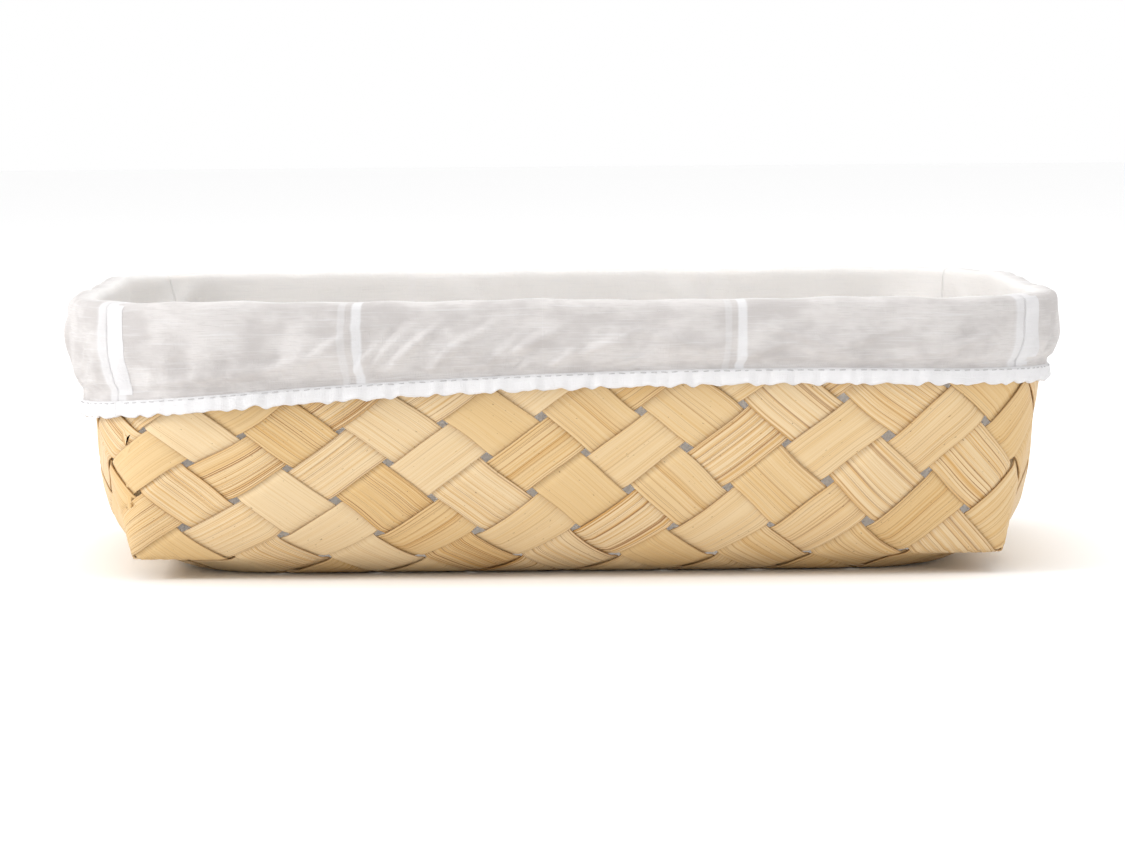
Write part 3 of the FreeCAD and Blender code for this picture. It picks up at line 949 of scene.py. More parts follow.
@dataclass
class Plait:
    """All the strips of the basket."""

    weave: Weave
    finish: SplitBamboo = SplitBamboo()

    def build(self) -> list[bpy.types.Object]:
        """Makes, dresses and places every strip.

        Returns:
            The strips.
        """
        material = self.finish.material("split_bamboo")
        made = []
        for lay in Lay:
            for number in range(self.weave.cells_long + self.weave.cells_wide):
                strip = PlaitStrip(self.weave, lay, number)
                piece = strip.build()
                piece.data.materials.append(material)
                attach(piece, "basket")
                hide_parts(strip.node)
                LOG.info("%s stands for %s", piece.name, strip.node)
                made.append(piece)
        return made


@dataclass
class Rim:
    """The laths and tacks that hold the strip ends: CAD pieces with their finishes."""

    lath: Lath = Lath()
    steel: TackSteel = TackSteel()

    def dress(self) -> None:
        """Gives the CAD nodes their finishes."""
        lath, steel = self.lath.material("rim_lath"), self.steel.material("tack_steel")
        for node, material in (("rim_band_outer", lath), ("rim_band_inner", lath), ("rim_tacks", steel)):
            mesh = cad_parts[node].data
            mesh.materials.clear()
            mesh.materials.append(material)
            LOG.info("%s dressed", node)


# ---------------------------------------------------------------- liner
class Side(Enum):
    """The liner's side panels, counter-clockwise from the front."""

    FRONT = 0
    RIGHT = 1
    BACK = 2
    LEFT = 3


@dataclass(frozen=True)
class Station:
    """One level of the liner's profile: how far it is out from the rim's middle line, and its height."""

    out: float
    height: float
    radius: float


@dataclass
class Liner:
    """Cotton bag, turned over the rim and down outside as a cuff that is tucked in at its hem.

    Distances out count from the rim's middle line.

    Args:
        weave: the basket's surface.
        cloth: thickness of the cloth.
        over_rim: gap between the rim and the cloth over it.
        turn: height of the turn over the rim.
        squareness: of the turn; 1 is an ellipse, less is squarer.
        least_out: nearest that the cuff comes where the outer band is behind it.
        inside: how far inside the rim's line the bag hangs.
        puff: how far out the cuff stands at the turn.
        puff_swing: how much that changes as the cuff swells and slackens.
        waist: how far out the cuff is at the hem.
        tuck_from: share of the cuff's depth where it starts to come in.
        most_relief: most that a crease stands out.
        hem_height: of the binding.
        hem_bow: how much the hem is higher at the front's middle.
        hem_droop: how much that falls off towards the ends.
        columns_per_metre: points along the cloth.
        stripes: their places along each side, from its middle.
    """

    weave: Weave
    cloth: float = 0.42 * MM
    over_rim: float = 0.75 * MM
    turn: float = 5.2 * MM
    squareness: float = 0.5
    least_out: float = 3.45 * MM
    inside: float = 3.55 * MM
    puff: float = 5.3 * MM
    puff_swing: float = 2.5 * MM
    waist: float = 1.3 * MM
    tuck_from: float = 0.35
    most_relief: float = 1.5 * MM
    hem_height: float = 5.2 * MM
    hem_bow: float = 2.8 * MM
    hem_droop: float = 5.2 * MM
    columns_per_metre: float = 1250
    stripes: dict[Side, tuple[float, ...]] = field(default_factory=lambda: {
        Side.FRONT: (-66 * MM, 51 * MM), Side.RIGHT: (-8 * MM,),
        Side.BACK: (-55 * MM, 51 * MM), Side.LEFT: (14 * MM,)})

    def __post_init__(self) -> None:
        """Reads the floor, heel and hem from the frame."""
        low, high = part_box("liner_floor")
        self.floor_level = (low[2] + high[2]) / 2
        self.floor_inset = self.weave.half[0] - high[0]
        low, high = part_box("hem_binding")
        self.hem_slope = ((high[2] - low[2]) - self.hem_height) / (high[0] - low[0])
        self.hem_foot = (low[2] + high[2]) / 2 - self.hem_height / 2
        self.band_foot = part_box("rim_band_outer")[0][2]
        self.top = self.weave.rim_height + self.over_rim + self.cloth / 2

    def hem_level(self, x: Array) -> Array:
        """Height of the hem's lower edge at a place along the basket."""
        share = x / (self.weave.half[0] + self.weave.rim_out)
        return self.hem_foot + self.hem_slope * x + self.hem_bow - self.hem_droop * share**2

    def stations(self) -> list[Station]:
        """The profile from the floor seam to the top of the turn.

        Returns:
            The levels, from the lowest.
        """
        w, rim = self.weave, self.weave.rim_radius
        out = -w.rim_out
        inner = -self.inside
        return [
            Station(out - self.floor_inset, self.floor_level, 28 * MM),
            Station(out - 12.2 * MM, self.floor_level + 2.4 * MM, 32 * MM),
            Station(out - 5.6 * MM, self.floor_level + 8.2 * MM, rim - 6 * MM),
            Station(out - 1.6 * MM, self.floor_level + 17.5 * MM, rim - 4 * MM),
            Station(out * 0.63 - 0.5 * MM, self.floor_level + 35 * MM, rim - 4 * MM),
            Station(out * 0.3 - 2.0 * MM, self.floor_level + 53 * MM, rim - 4 * MM),
            Station(inner - 0.2 * MM, w.upright_from, rim + inner),
            Station(inner, w.upright_from + 7 * MM, rim + inner),
            Station(inner, self.top - self.turn, rim + inner),
        ]

    def profile(self, share: Array, x: Array, puff: Array) -> tuple[Array, Array, Array]:
        """(out from the rim line, height, corner radius) of the cloth.

        Args:
            share: 0 at the floor seam, 1 at the start of the turn, 2 at its end, 3 at the hem.
            x: place along the basket, which sets the hem's height.
            puff: how much the cuff stands out, 1 as usual.

        Returns:
            Three arrays.
        """
        stops = self.stations()
        lengths = [0.0]
        for one, other in zip(stops, stops[1:]):
            lengths.append(lengths[-1] + math.hypot(other.out - one.out, other.height - one.height))
        knots = np.array(lengths) / lengths[-1]
        values = np.array([[s.out, s.height, s.radius] for s in stops])
        up = np.clip(share, 0, 1)
        slopes = np.gradient(values, knots, axis=0)
        index = np.clip(np.searchsorted(knots, up, side="right") - 1, 0, len(knots) - 2)
        gap = (knots[1:] - knots[:-1])[index]
        t = ((up - knots[index]) / gap)[..., None]
        a, b = values[index], values[index + 1]
        da, db = slopes[index] * gap[..., None], slopes[index + 1] * gap[..., None]
        bag = (a * (1 + 2 * t) * (1 - t) ** 2 + da * t * (1 - t) ** 2
               + b * t**2 * (3 - 2 * t) - db * t**2 * (1 - t))
        angle = np.clip(share - 1, 0, 1) * math.pi
        outside = self.puff + (puff - 1) * self.puff_swing
        reach = np.where(angle < math.pi / 2, self.inside, outside)
        cosine, sine = np.cos(angle), np.clip(np.sin(angle), 0, 1)
        turn_out = -reach * np.sign(cosine) * np.abs(cosine) ** self.squareness
        turn_height = self.top - self.turn * (1 - sine**self.squareness)
        down = np.clip(share - 2, 0, 1)
        hem_top = self.hem_level(x) + 0.45 * self.hem_height
        height = self.top - self.turn + down * (hem_top - self.top + self.turn)
        tucked = smooth((down - self.tuck_from) / (1 - self.tuck_from))
        cuff_out = self.waist + (outside - self.waist) * (1 - tucked)
        out = np.where(share <= 1, bag[..., 0], np.where(share <= 2, turn_out, cuff_out))
        level = np.where(share <= 1, bag[..., 1], np.where(share <= 2, turn_height, height))
        radius = np.where(share <= 1, bag[..., 2], self.weave.rim_radius + out)
        return out, level, radius


@dataclass(frozen=True)
class Crease:
    """One soft fold in the cuff: a rounded ridge, or a valley where deep is less than 0.

    Args:
        along: place of its middle along its side, from the side's middle, rightward seen from outside.
        down: place of its middle below the start of the cuff.
        rise: its slope; positive ones rise to the right.
        reach: half its length.
        width: half its width.
        deep: its height.
    """

    side: Side
    along: float
    down: float
    rise: float
    reach: float
    width: float
    deep: float


FRONT_CREASES = tuple(
    Crease(Side.FRONT, along * MM, down * MM, rise, reach * MM, width * MM, deep * MM)
    for along, down, rise, reach, width, deep in (
        (-116, 17.5, 0.10, 17, 2.2, 0.9), (-88, 14.5, 0.22, 13, 2.0, 1.1), (-73, 9.5, 0.75, 7, 1.6, 0.9),
        (-112, 12.5, 0.06, 20, 2.6, -0.6), (-61, 12.0, 1.20, 9, 1.7, 1.2), (-52, 15.0, 1.05, 8, 1.4, 0.9),
        (-47, 9.0, 0.85, 10, 1.8, 1.2), (-38, 14.0, 1.10, 9, 1.6, 1.0), (-31, 8.0, 0.75, 10, 1.9, 1.1),
        (-22, 13.5, 0.95, 9, 1.7, 0.9), (-12, 9.5, 0.60, 11, 2.0, 0.9), (-3, 16.0, 0.85, 8, 1.5, 0.8),
        (-57, 7.5, 0.90, 8, 2.0, -0.8), (-34, 11.0, 1.00, 9, 1.9, -0.8), (-16, 16.0, 0.80, 9, 1.9, -0.7),
        (9, 11.0, 0.50, 11, 2.1, 0.8), (18, 18.0, 0.60, 8, 1.6, 0.7), (33, 9.0, -0.35, 12, 2.2, 0.7),
        (58, 14.0, 0.40, 10, 2.0, 0.7), (74, 9.0, -0.45, 13, 2.0, 0.8), (83, 15.5, -0.30, 11, 1.8, 0.7),
        (92, 8.0, 0.35, 10, 2.2, 0.6), (104, 16.0, 0.20, 12, 2.0, 0.7), (121, 11.0, 0.50, 10, 2.2, 0.8)))


@dataclass
class LinerSurface:
    """The cloth's surface with its creases, for a side and a place on it.

    Args:
        liner: the bag and its cuff, without creases.
        loose_creases: short random creases in the cuff.
        bag_folds: soft random folds inside.
        bag_depth: depth over which the folds are spread.
        cuff_drop: depth over which the creases are spread.
        crease_sharpening: how much higher creases are made than they are listed.
        crease_narrowing: how much narrower.
        seam_width: half the width of the dip along a corner seam.
        hem_seat: most that the cuff stands out under the binding.
        band_approach: height over which the cuff comes clear of the outer band.
        swell: how much the cuff's fullness changes along it.
        left_slack: how much fuller it is at the left end.
        left_slack_reach: how far that goes.
    """

    liner: Liner
    loose_creases: int = 95
    bag_folds: int = 64
    bag_depth: float = 90 * MM
    cuff_drop: float = 24 * MM
    crease_sharpening: float = 1.5
    crease_narrowing: float = 0.8
    seam_width: float = 1.6 * MM
    hem_seat: float = 0.35 * MM
    band_approach: float = 4 * MM
    swell: float = 0.2
    left_slack: float = 0.35
    left_slack_reach: float = 22 * MM

    def __post_init__(self) -> None:
        """Chooses the creases: the front's own, and short soft random ones on every side."""
        random = np.random.default_rng(SEED)
        w = self.liner.weave
        self.length = 4 * sum(w.half) + 8 * w.rim_out - 8 * w.rim_radius + 2 * math.pi * w.rim_radius
        ends = [self.side_length(Side(number)) for number in range(4)]
        rows = []
        for crease in FRONT_CREASES:
            middle = sum(ends[:crease.side.value]) + ends[crease.side.value] / 2
            rows.append((crease.down, middle + crease.along, crease.rise, crease.reach, crease.width,
                         crease.deep))
        for _ in range(self.loose_creases):
            around = random.uniform(0, self.length)
            share = 0.45 if around < ends[0] else 1.0
            rows.append((random.uniform(2, 25) * MM, around, random.normal(0.5, 0.8),
                         random.uniform(5, 13) * MM, random.uniform(1.2, 2.4) * MM,
                         random.uniform(-0.6, 1.1) * MM * share))
        shaping = (1, 1, 1, 1, self.crease_narrowing, self.crease_sharpening)
        self.creases = np.array(rows) * shaping
        many = self.bag_folds
        around, level = random.uniform(0, self.length, many), random.uniform(8, 88, many) * MM
        self.folds = np.stack([level, around, random.normal(0, 1.6, many), random.uniform(9, 24, many) * MM,
                               random.uniform(2.0, 4.2, many) * MM, random.uniform(0.5, 1.9, many) * MM],
                              axis=-1)

    def side_length(self, side: Side) -> float:
        """Length of a side of the rim, from corner middle to corner middle.

        Args:
            side: of the rim.

        Returns:
            The length.
        """
        w = self.liner.weave
        half = w.half[side.value % 2] + w.rim_out
        return 2 * (half - w.rim_radius) + math.pi / 2 * w.rim_radius

    def around(self, side: Side, run: Array) -> Array:
        """Distance round the rim from the front panel's left end."""
        before = sum(self.side_length(Side(n)) for n in range(side.value))
        return before + run * self.side_length(side)

    def places(self, side: Side, run: Array, share: Array, lift: float = 0.0) -> Array:
        """Points of the creased cloth.

        Args:
            side: the panel.
            run: 0 to 1 along it.
            share: 0 at the floor seam, 1 and 2 at the ends of the turn, 3 at the hem.
            lift: distance outside the cloth's middle.

        Returns:
            (..., 3) points.
        """
        liner, w = self.liner, self.liner.weave
        which = np.full(np.shape(run), side.value)
        rim, _ = w.outline(which, run, np.full(np.shape(run), w.rim_out),
                           np.full(np.shape(run), w.rim_radius))
        distance = self.around(side, run)
        swell = Drift(SEED, (37 * MM, 61 * MM, 118 * MM), self.length).at(distance)
        from_left = rim[..., 0] + w.half[0] + w.rim_out
        puff = 1.0 + self.swell * swell + self.left_slack * bump(from_left, self.left_slack_reach)
        out, height, radius = liner.profile(share, rim[..., 0], puff)
        out = out + np.minimum(self.relief(distance, share, run), liner.most_relief)
        by_band = smooth((height - liner.band_foot + self.band_approach) / self.band_approach)
        below_band = liner.waist - 0.5 * MM
        nearest = below_band + by_band * (liner.least_out - below_band)
        out = np.where(share > 1.8, np.maximum(out, nearest), out)
        within = smooth((share - 2.7) / 0.12)   # 1 where the binding covers the cuff
        out = out * (1 - within) + np.minimum(out, liner.waist + self.hem_seat) * within + lift
        places, _ = w.outline(which, run, w.rim_out + out, np.maximum(radius, 5 * MM))
        height = height + self.sway(distance, share)
        return np.concatenate([places, height[..., None]], axis=-1)

    def sway(self, distance: Array, share: Array) -> Array:
        """Small ups and downs of the cloth's turn."""
        over = bump(share - 1.5, 0.55)
        return 0.35 * MM * over * Drift(SEED + 3, (23 * MM, 52 * MM, 97 * MM), self.length).at(distance)

    def ridge(self, distance: Array, height: Array, around: float, rise: float, long: float, wide: float,
              deep: float) -> Array:
        """One soft ridge in the cloth.

        Args:
            distance: round the rim.
            height: above the ridge's middle.
            around: where on the rim its middle is.
            rise: its slope.
            long: half its length.
            wide: half its width.
            deep: its height.

        Returns:
            How far it moves the cloth at each place.
        """
        gap = (distance - around + self.length / 2) % self.length - self.length / 2
        lean = math.atan(rise)
        along = gap * math.cos(lean) + height * math.sin(lean)
        across = height * math.cos(lean) - gap * math.sin(lean)
        return deep * bump(across, wide) * bump(along, long)

    def relief(self, distance: Array, share: Array, run: Array) -> Array:
        """How far creases and gathers move the cloth outward.

        Args:
            distance: round the rim.
            share: 0 at the floor seam, 1 and 2 at the ends of the turn, 3 at the hem.
            run: 0 to 1 along the side.

        Returns:
            The movement at each place.
        """
        down = np.clip(share - 2, 0, 1)
        cuff = smooth((share - 1.8) / 0.4)
        gather = Drift(SEED + 5, (5.5 * MM, 7.3 * MM, 9.9 * MM), self.length).at(distance)
        total = 0.6 * MM * gather * cuff * down**2.6
        soft = Drift(SEED + 6, (14 * MM, 23 * MM, 41 * MM), self.length).at(distance + 9 * MM * down)
        total = total + 0.5 * MM * soft * cuff * np.sin(np.clip(down, 0, 1) * math.pi)
        for level, *crease in self.creases:
            total = total + self.ridge(distance, level - (share - 2) * self.cuff_drop, *crease) * cuff
        inward = np.zeros_like(total)
        for level, *fold in self.folds:
            inward = inward + self.ridge(distance, share * self.bag_depth - level, *fold)
        total = total - inward * smooth((1.12 - share) / 0.2) * smooth(share / 0.1)
        bag = smooth((1.05 - share) / 0.3) * smooth(share / 0.12)
        folds = Drift(SEED + 8, (31 * MM, 47 * MM, 73 * MM), self.length).at(distance + 30 * MM * share)
        corner = np.minimum(run, 1 - run)
        total = total - bag * MM * (0.7 + 0.6 * folds + 1.6 * bump(corner, 0.05) * (1 + folds))
        seam = bump(corner * 200 * MM, self.seam_width)
        total = total - 0.3 * MM * seam * cuff
        return total * smooth((2.98 - share) / 0.22)


@dataclass
class LinerPanel:
    """One side panel: bag wall, turn over the rim and cuff, in one piece of cloth."""

    surface: LinerSurface
    side: Side
    bag_rows: int = 60
    turn_rows: int = 14
    cuff_rows: int = 46
    allowance: float = 4.2 * MM

    @property
    def node(self) -> str:
        """The CAD node that the panel stands for."""
        return f"liner_panel_{self.side.name.lower()}"

    def build(self, material: bpy.types.Material) -> bpy.types.Object:
        """Makes the panel.

        Args:
            material: the cloth.

        Returns:
            Its object.
        """
        liner = self.surface.liner
        length = self.surface.side_length(self.side)
        columns = round(length * liner.columns_per_metre)
        share = np.concatenate([np.linspace(0, 1, self.bag_rows), np.linspace(1, 2, self.turn_rows)[1:],
                                np.linspace(2, 3, self.cuff_rows)[1:]])
        run, share = np.meshgrid(np.linspace(0, 1, columns), share)
        middle = self.surface.places(self.side, run, share)
        normal = surface_normals(middle)
        outer, inner = middle + normal * liner.cloth / 2, middle - normal * liner.cloth / 2
        steps = np.linalg.norm(np.diff(middle, axis=0), axis=-1).mean(axis=1)
        down = np.broadcast_to(np.concatenate([[0], np.cumsum(steps)])[:, None], run.shape)
        place = (run - 0.5) * length
        away = np.array([place - where for where in liner.stripes[self.side]])
        stripe = np.take_along_axis(away, np.abs(away).argmin(axis=0)[None], axis=0)[0]
        around = self.surface.around(self.side, run)
        threads = np.stack([around, down, np.full(run.shape, self.side.value)], -1)
        to_corner = (0.5 - np.abs(run - 0.5)) * length
        doubled = 0.75 * smooth((self.allowance - to_corner) / (0.6 * MM)) * (share > 1.2)
        # 1 inside the basket, where the cloth is painted lighter as painted light
        inside = smooth((1.62 - share) / 0.2)
        marks = {"threads": threads, "stripe": stripe, "doubled": doubled, "inner": inside}
        draft = MeshDraft()
        add_sheet(draft, outer, inner, marks)
        made = draft.build(f"liner_cloth_{self.side.name.lower()}", CLOTH_EDGE)
        weld(made)
        made.data.materials.append(material)
        self.flat = (length, float(down[-1, 0]))
        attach(made, "liner")
        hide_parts(self.node)
        LOG.info("%s stands for %s, cut %.0f x %.0f mm", made.name, self.node,
                 self.flat[0] / MM, self.flat[1] / MM)
        self.made = made
        return made

    def declare(self, sewn_on: list[bpy.types.Object]) -> None:
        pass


@dataclass
class LinerFloor:
    """The bag's floor, laid on the woven base."""

    surface: LinerSurface
    rings: int = 60
    wrinkles: int = 26

    def build(self, material: bpy.types.Material) -> bpy.types.Object:
        """Makes the floor.

        Args:
            material: the cloth.

        Returns:
            Its object.
        """
        liner = self.surface.liner
        w = liner.weave
        first = liner.stations()[0]
        run = np.linspace(0, 1, 100)[:-1]
        side = np.repeat(np.arange(4), len(run))
        run = np.tile(run, 4)
        rim, _ = w.outline(side, run, np.full(len(run), w.rim_out + first.out),
                           np.full(len(run), first.radius))
        share = np.linspace(1, 0.0004, self.rings)[:, None, None]
        plan = rim[None] * share
        ripple = (Drift(SEED + 21, (61 * MM, 93 * MM, 140 * MM)).at(plan[..., 0] + 0.4 * plan[..., 1])
                  + Drift(SEED + 22, (57 * MM, 85 * MM)).at(plan[..., 1] - 0.3 * plan[..., 0]))
        random = np.random.default_rng(SEED + 23)
        for _ in range(self.wrinkles):
            x, y = random.uniform(-1, 1, 2) * w.half * 0.8
            lean = random.uniform(0, math.pi)
            long, wide = random.uniform(12, 34) * MM, random.uniform(2, 4) * MM
            along = (plan[..., 0] - x) * math.cos(lean) + (plan[..., 1] - y) * math.sin(lean)
            across = (plan[..., 1] - y) * math.cos(lean) - (plan[..., 0] - x) * math.sin(lean)
            ripple = ripple + random.uniform(0.8, 2.4) * bump(across, wide) * bump(along, long)
        height = first.height + 0.5 * MM * (1 + 0.5 * ripple) * smooth((1 - share[..., 0]) / 0.2)
        middle = np.concatenate([plan, height[..., None]], axis=-1)
        lift = np.array([0, 0, liner.cloth / 2])
        shell = np.concatenate([middle + lift, (middle - lift)[::-1], (middle + lift)[:1]])
        rows, columns = shell.shape[:2]
        size = rows * columns
        threads = np.concatenate([shell[..., :2], np.full((rows, columns, 1), 5.0)], axis=-1).reshape(-1, 3)
        draft = MeshDraft()
        # the floor lies inside the basket, so it takes the painted light colour all over
        draft.add(shell, grid_quads(rows, columns, around=True), threads=threads, stripe=np.ones(size),
                  doubled=np.zeros(size), inner=np.ones(size))
        made = draft.build("liner_cloth_floor", CLOTH_EDGE)
        made.data.materials.append(material)
        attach(made, "liner")
        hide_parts("liner_floor")
        LOG.info("%s stands for liner_floor", made.name)
        return made


@dataclass
class HemRing:
    """Gathered binding round the cuff's edge, the elastic in it and its stitching."""

    surface: LinerSurface
    columns: int = 1200
    half_thick: float = 0.95 * MM

    def loop(self) -> tuple[Array, Array, Array, Array]:
        """Places, outward ways, distance round and x of the ring's line on the rim.

        Returns:
            Four arrays, one row for each column.
        """
        w = self.surface.liner.weave
        total = self.surface.length
        distance = np.arange(self.columns) / self.columns * total
        side, run, left = np.zeros(self.columns, int), np.zeros(self.columns), distance.copy()
        for n in range(4):
            long = self.surface.side_length(Side(n))
            here = (left >= 0) & (left < long)
            side[here], run[here] = n, left[here] / long
            left = left - long
        out = w.rim_out + self.middle
        rim, ways = w.outline(side, run, np.full(self.columns, out),
                              np.full(self.columns, w.rim_radius + self.middle))
        return rim, ways, distance, rim[:, 0]

    @property
    def middle(self) -> float:
        """How far the binding's middle is outside the rim's middle line."""
        return self.surface.liner.waist + 0.25 * MM

    def ring(self, name: str, outline: Array, gather: float,
             material: bpy.types.Material) -> bpy.types.Object:
        """A closed ring with a given section.

        Args:
            name: of the object.
            outline: (n, 2) section, as out and up from the hem's lower edge.
            gather: how strongly it is puckered, 0 to 1.
            material: its finish.

        Returns:
            The object.
        """
        liner = self.surface.liner
        rim, ways, distance, x = self.loop()
        total = self.surface.length
        pucker = Drift(SEED + 31, (3.9 * MM, 5.1 * MM, 7.7 * MM, 11 * MM), total).at(distance)
        wander = Drift(SEED + 32, (6.3 * MM, 9.5 * MM, 15 * MM), total).at(distance)
        out, up = outline[:, 0][:, None], outline[:, 1][:, None]
        low = 1 - np.clip(up / liner.hem_height, 0, 1)
        face = (out > 0) * 1.0
        reach = out + gather * MM * (0.3 * pucker * face * (0.45 + low) + 0.25 * wander * low)
        height = liner.hem_level(x)[None] + up + gather * MM * (0.42 * wander + 0.3 * pucker) * low
        plan = rim[None] + ways[None] * reach[..., None]
        points = np.concatenate([plan, height[..., None]], axis=-1)
        rows = len(outline)
        points = np.concatenate([points, points[:1]])
        shape = (rows + 1, self.columns)
        down = np.arange(rows + 1)[:, None] * 0.6 * MM
        threads = np.stack([np.broadcast_to(distance, shape), np.broadcast_to(down, shape),
                            np.full(shape, 9.0)], axis=-1)
        size = (rows + 1) * self.columns
        draft = MeshDraft()
        draft.add(points, grid_quads(rows + 1, self.columns, around=True), threads=threads.reshape(-1, 3),
                  stripe=np.ones(size), doubled=np.ones(size), inner=np.zeros(size))
        made = draft.build(name, CLOTH_EDGE)
        weld(made)
        made.data.materials.append(material)
        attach(made, "liner")
        LOG.info("%s made", name)
        return made

    def section(self, half_thick: float, low: float, high: float, corner: float) -> Array:
        """A rounded upright section, counter-clockwise from its outer side at the top.

        Args:
            half_thick: half its thickness.
            low: its foot.
            high: its top.
            corner: radius of its corners.

        Returns:
            (n, 2) points, as out and up.
        """
        points = []
        top, foot = high - corner, low + corner
        for turn, (x, y) in enumerate(((1, top), (-1, top), (-1, foot), (1, foot))):
            for part in np.linspace(0, 1, 5):
                angle = (turn + part) * math.pi / 2
                points.append((x * (half_thick - corner) + corner * math.cos(angle),
                               y + corner * math.sin(angle)))
        return np.array(points)

    def build(self, cloth: bpy.types.Material, tape: bpy.types.Material) -> list[bpy.types.Object]:
        """Makes the binding and the elastic.

        Args:
            cloth: the binding's finish.
            tape: the elastic's finish.

        Returns:
            The two objects.
        """
        liner = self.surface.liner
        binding = self.ring("hem_tape", self.section(self.half_thick, 0, liner.hem_height, 0.85 * MM),
                            1.0, cloth)
        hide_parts("hem_binding")
        elastic = self.ring("hem_elastic_tape", self.section(0.3 * MM, 1.0 * MM, 3.6 * MM, 0.2 * MM), 0.3,
                            tape)
        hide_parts("hem_elastic")
        return [binding, elastic]


@dataclass
class Stitches:
    """Running stitches as short bent threads.

    Args:
        radius: of the thread.
        long: length of a stitch.
        sides: of the thread's section.
        bends: each bend's place along the stitch, its depth in radii, and the thread's size there.
    """

    radius: float = 0.17 * MM
    long: float = 2.1 * MM
    sides: int = 6
    bends: tuple[tuple[float, float, float], ...] = ((0, 1.5, 0.5), (0.12, 0.35, 0.9), (0.5, -0.15, 1.0),
                                                     (0.88, 0.35, 0.9), (1, 1.5, 0.5))

    def add(self, draft: MeshDraft, start: Array, end: Array, out: Array) -> None:
        """Adds one stitch.

        Args:
            draft: the mesh to add to.
            start: where it comes out of the cloth.
            end: where it goes back in.
            out: unit direction away from the cloth.
        """
        along = end - start
        along = along / max(float(np.linalg.norm(along)), 1e-9)
        across = np.cross(out, along)
        angles = np.arange(self.sides) * 2 * math.pi / self.sides
        rows = []
        circle = np.cos(angles)[:, None] * out + np.sin(angles)[:, None] * across
        for share, sink, size in self.bends:
            centre = start + (end - start) * share - out * sink * self.radius
            rows.append(centre + self.radius * size * circle)
        draft.add(np.array(rows), grid_quads(len(rows), self.sides, around=True, turned=True))


@dataclass
class Stitching:
    """The line of stitching along the binding, and the seams up the corners of the cuff."""

    surface: LinerSurface
    hem: HemRing
    stitches: Stitches = field(default_factory=Stitches)
    gap: float = 1.15 * MM
    below_top: float = 0.75 * MM
    proud: float = 0.05 * MM
    allowance_width: float = 6.4 * MM
    allowance_thickness: float = 0.55 * MM
    allowance_lift: float = 0.26 * MM

    def build_hem(self, material: bpy.types.Material) -> bpy.types.Object:
        """Makes the hem's stitching.

        Args:
            material: the thread.

        Returns:
            Its object.
        """
        liner = self.surface.liner
        rim, ways, distance, x = self.hem.loop()
        total = self.surface.length
        pace = self.stitches.long + self.gap
        count = round(total / pace)
        out = self.hem.half_thick + self.proud
        level = liner.hem_level(x) + liner.hem_height - self.below_top
        line = np.concatenate([rim + ways * out, level[:, None]], axis=-1)
        draft = MeshDraft()

        def at(where: float) -> tuple[Array, Array]:
            """The line's point and its outward way at a distance round the hem.

            Args:
                where: the distance.

            Returns:
                The point and the direction.
            """
            place = (where % total) / total * len(distance)
            one, other = int(place) % len(distance), (int(place) + 1) % len(distance)
            part = place - int(place)
            point = line[one] * (1 - part) + line[other] * part
            way = ways[one] * (1 - part) + ways[other] * part
            return point, np.array([way[0], way[1], 0.0])

        random = np.random.default_rng(SEED + 40)
        for number in range(count):
            start = number * total / count + random.uniform(-0.1, 0.1) * MM
            one, way = at(start)
            other, _ = at(start + self.stitches.long)
            drift = np.array([0, 0, random.uniform(-0.12, 0.12) * MM])
            self.stitches.add(draft, one + drift, other - drift, way / np.linalg.norm(way))
        made = draft.build("hem_thread", 80)
        made.data.materials.append(material)
        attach(made, "liner")
        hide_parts("hem_stitching")
        LOG.info("hem_thread stands for hem_stitching, %d stitches", count)
        return made

    def build_corners(self, cloth: bpy.types.Material, thread: bpy.types.Material) -> list[bpy.types.Object]:
        """Makes the doubled seam allowance and its stitches at each corner of the cuff.

        Args:
            cloth: the allowance's finish.
            thread: the stitches' finish.

        Returns:
            The two objects.
        """
        seams, threads = MeshDraft(), MeshDraft()
        for side in Side:
            length = self.surface.side_length(side)
            run = np.linspace(0.002, self.allowance_width / length, 9)
            share = np.linspace(1.35, 2.84, 44)
            run, share = np.meshgrid(run, share)
            low = self.surface.places(side, run, share, self.allowance_lift)
            edge = np.minimum((run - run.min()) * length, (run.max() - run) * length)
            high = self.surface.places(side, run, share)
            thick = self.allowance_thickness * (0.35 + 0.65 * smooth(edge / (0.9 * MM)))
            normal = surface_normals(high)
            top = low + normal * thick[..., None]
            rows, columns = run.shape
            spread = np.stack([self.surface.around(side, run), share * 20 * MM, np.full(run.shape, 11.0)], -1)
            marks = {"threads": spread, "stripe": np.ones(run.shape), "doubled": np.full(run.shape, 0.9),
                     "inner": np.zeros(run.shape)}
            add_sheet(seams, top, low, marks)
            column = columns - 3
            for row in range(8, rows - 3, 3):
                self.stitches.add(threads, top[row, column], top[row + 2, column], normal[row, column])
        seam = seams.build("corner_seam_allowance", CLOTH_EDGE)
        seam.data.materials.append(cloth)
        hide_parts("cuff_corner_seams")
        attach(seam, "liner")
        sewn = threads.build("corner_thread", 80)
        sewn.data.materials.append(thread)
        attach(sewn, "liner")
        LOG.info("corner seams made")
        return [seam, sewn]


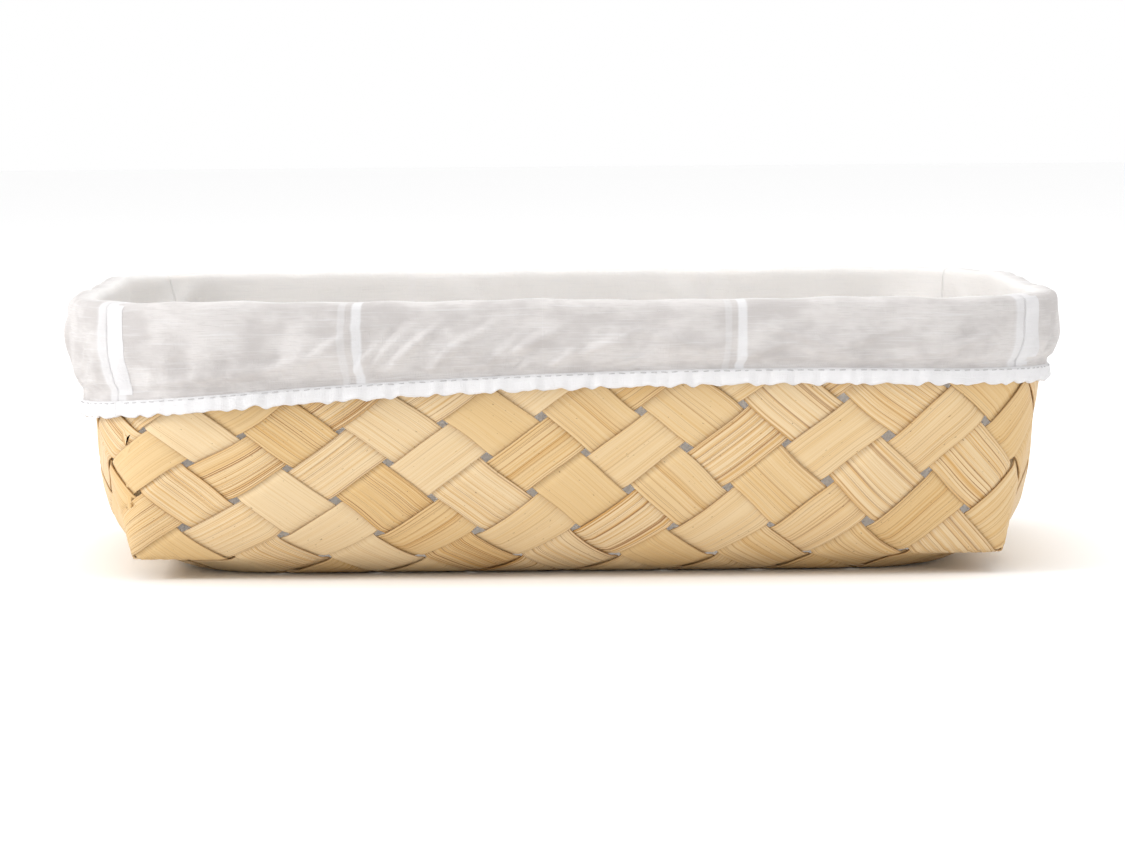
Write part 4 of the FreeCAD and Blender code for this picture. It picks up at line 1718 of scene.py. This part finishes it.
# ---------------------------------------------------------------- studio
@dataclass
class Studio:
    """White floor, soft light and the camera."""

    lens: float = 145.0
    sensor: float = 36.0
    far_clip: float = 30.0
    place: tuple[float, float, float] = (-0.0241, -1.520, 0.1603)
    yaw: float = -0.0158
    pitch: float = 0.0775
    roll: float = -0.0073

    def build_camera(self) -> None:
        """Makes the camera."""
        data = bpy.data.cameras.new("camera")
        data.lens, data.sensor_width = self.lens, self.sensor
        data.clip_end = self.far_clip
        camera = bpy.data.objects.new("camera", data)
        bpy.context.collection.objects.link(camera)
        upright = Matrix.Rotation(math.pi / 2 - self.pitch, 4, "X")
        turned = Matrix.Rotation(self.yaw, 4, "Z") @ upright @ Matrix.Rotation(self.roll, 4, "Z")
        camera.matrix_world = Matrix.Translation(Vector(self.place)) @ turned
        bpy.context.scene.camera = camera

    def build_floor(self) -> None:
        """Makes the flat floor."""
        rows = (-4.0, -1.0, 1.0, 6.0)
        points = np.array([[(x, y, 0.0) for x in (-5.0, 5.0)] for y in rows])
        draft = MeshDraft()
        draft.add(points, grid_quads(len(rows), 2))
        floor = draft.build("studio_floor")
        n = Nodes("studio_paper")
        place = n.make("ShaderNodeTexCoord").outputs["Object"]
        tooth = n.noise(n.stretch(place, (900, 900, 900)), 2)
        shader = n.make("ShaderNodeBsdfPrincipled", {
            "Base Color": (0.97, 0.97, 0.97, 1), "Roughness": 0.9, "Specular IOR Level": 0.1,
            "Normal": n.bumps(tooth, 0.00005, 0.2)})
        floor.data.materials.append(n.finish(shader.outputs[0]))

    def build_lights(self) -> None:
        """Makes the soft boxes and the white surroundings."""
        for name, place, size, power in (
                ("key_box", (-1.7, -0.6, 1.0), 0.6, 17.0), ("top_box", (0.1, 0.15, 1.7), 1.4, 12.0)):
            data = bpy.data.lights.new(name, "AREA")
            data.energy, data.size = power, size
            lamp = bpy.data.objects.new(name, data)
            lamp.location = place
            lamp.rotation_euler = (-Vector(place)).to_track_quat("-Z", "Y").to_euler()
            bpy.context.collection.objects.link(lamp)
        world = bpy.data.worlds.new("studio")
        world.use_nodes = True
        surroundings = world.node_tree.nodes["Background"]
        surroundings.inputs["Color"].default_value = (1, 1, 1, 1)
        surroundings.inputs["Strength"].default_value = 1.0
        bpy.context.scene.world = world
        bpy.context.scene.view_settings.view_transform = "Standard"


def main() -> None:
    """Builds the studio and dresses the basket, in the order a maker would."""
    logging.basicConfig(level=logging.INFO, format="%(message)s")
    studio = Studio()
    studio.build_camera()
    weave = Weave.from_frame()
    Plait(weave).build()
    Rim().dress()
    liner = Liner(weave)
    surface = LinerSurface(liner)
    cotton = ThinCotton(Cloth.PANEL).material("liner_cotton")
    tape = ThinCotton(Cloth.HEM).material("hem_cotton")
    thread = Thread().material("cotton_thread")
    panels = [LinerPanel(surface, side) for side in Side]
    for panel in panels:
        panel.build(cotton)
    LinerFloor(surface).build(cotton)
    hem = HemRing(surface)
    sewn_on = hem.build(tape, WovenElastic().material("hem_elastic_weave"))
    stitching = Stitching(surface, hem)
    sewn_on.append(stitching.build_hem(thread))
    sewn_on.extend(stitching.build_corners(cotton, thread))
    for panel in panels:
        panel.declare(sewn_on if panel.side is Side.FRONT else [])
    studio.build_floor()
    studio.build_lights()


if __name__ == "__main__":
    main()
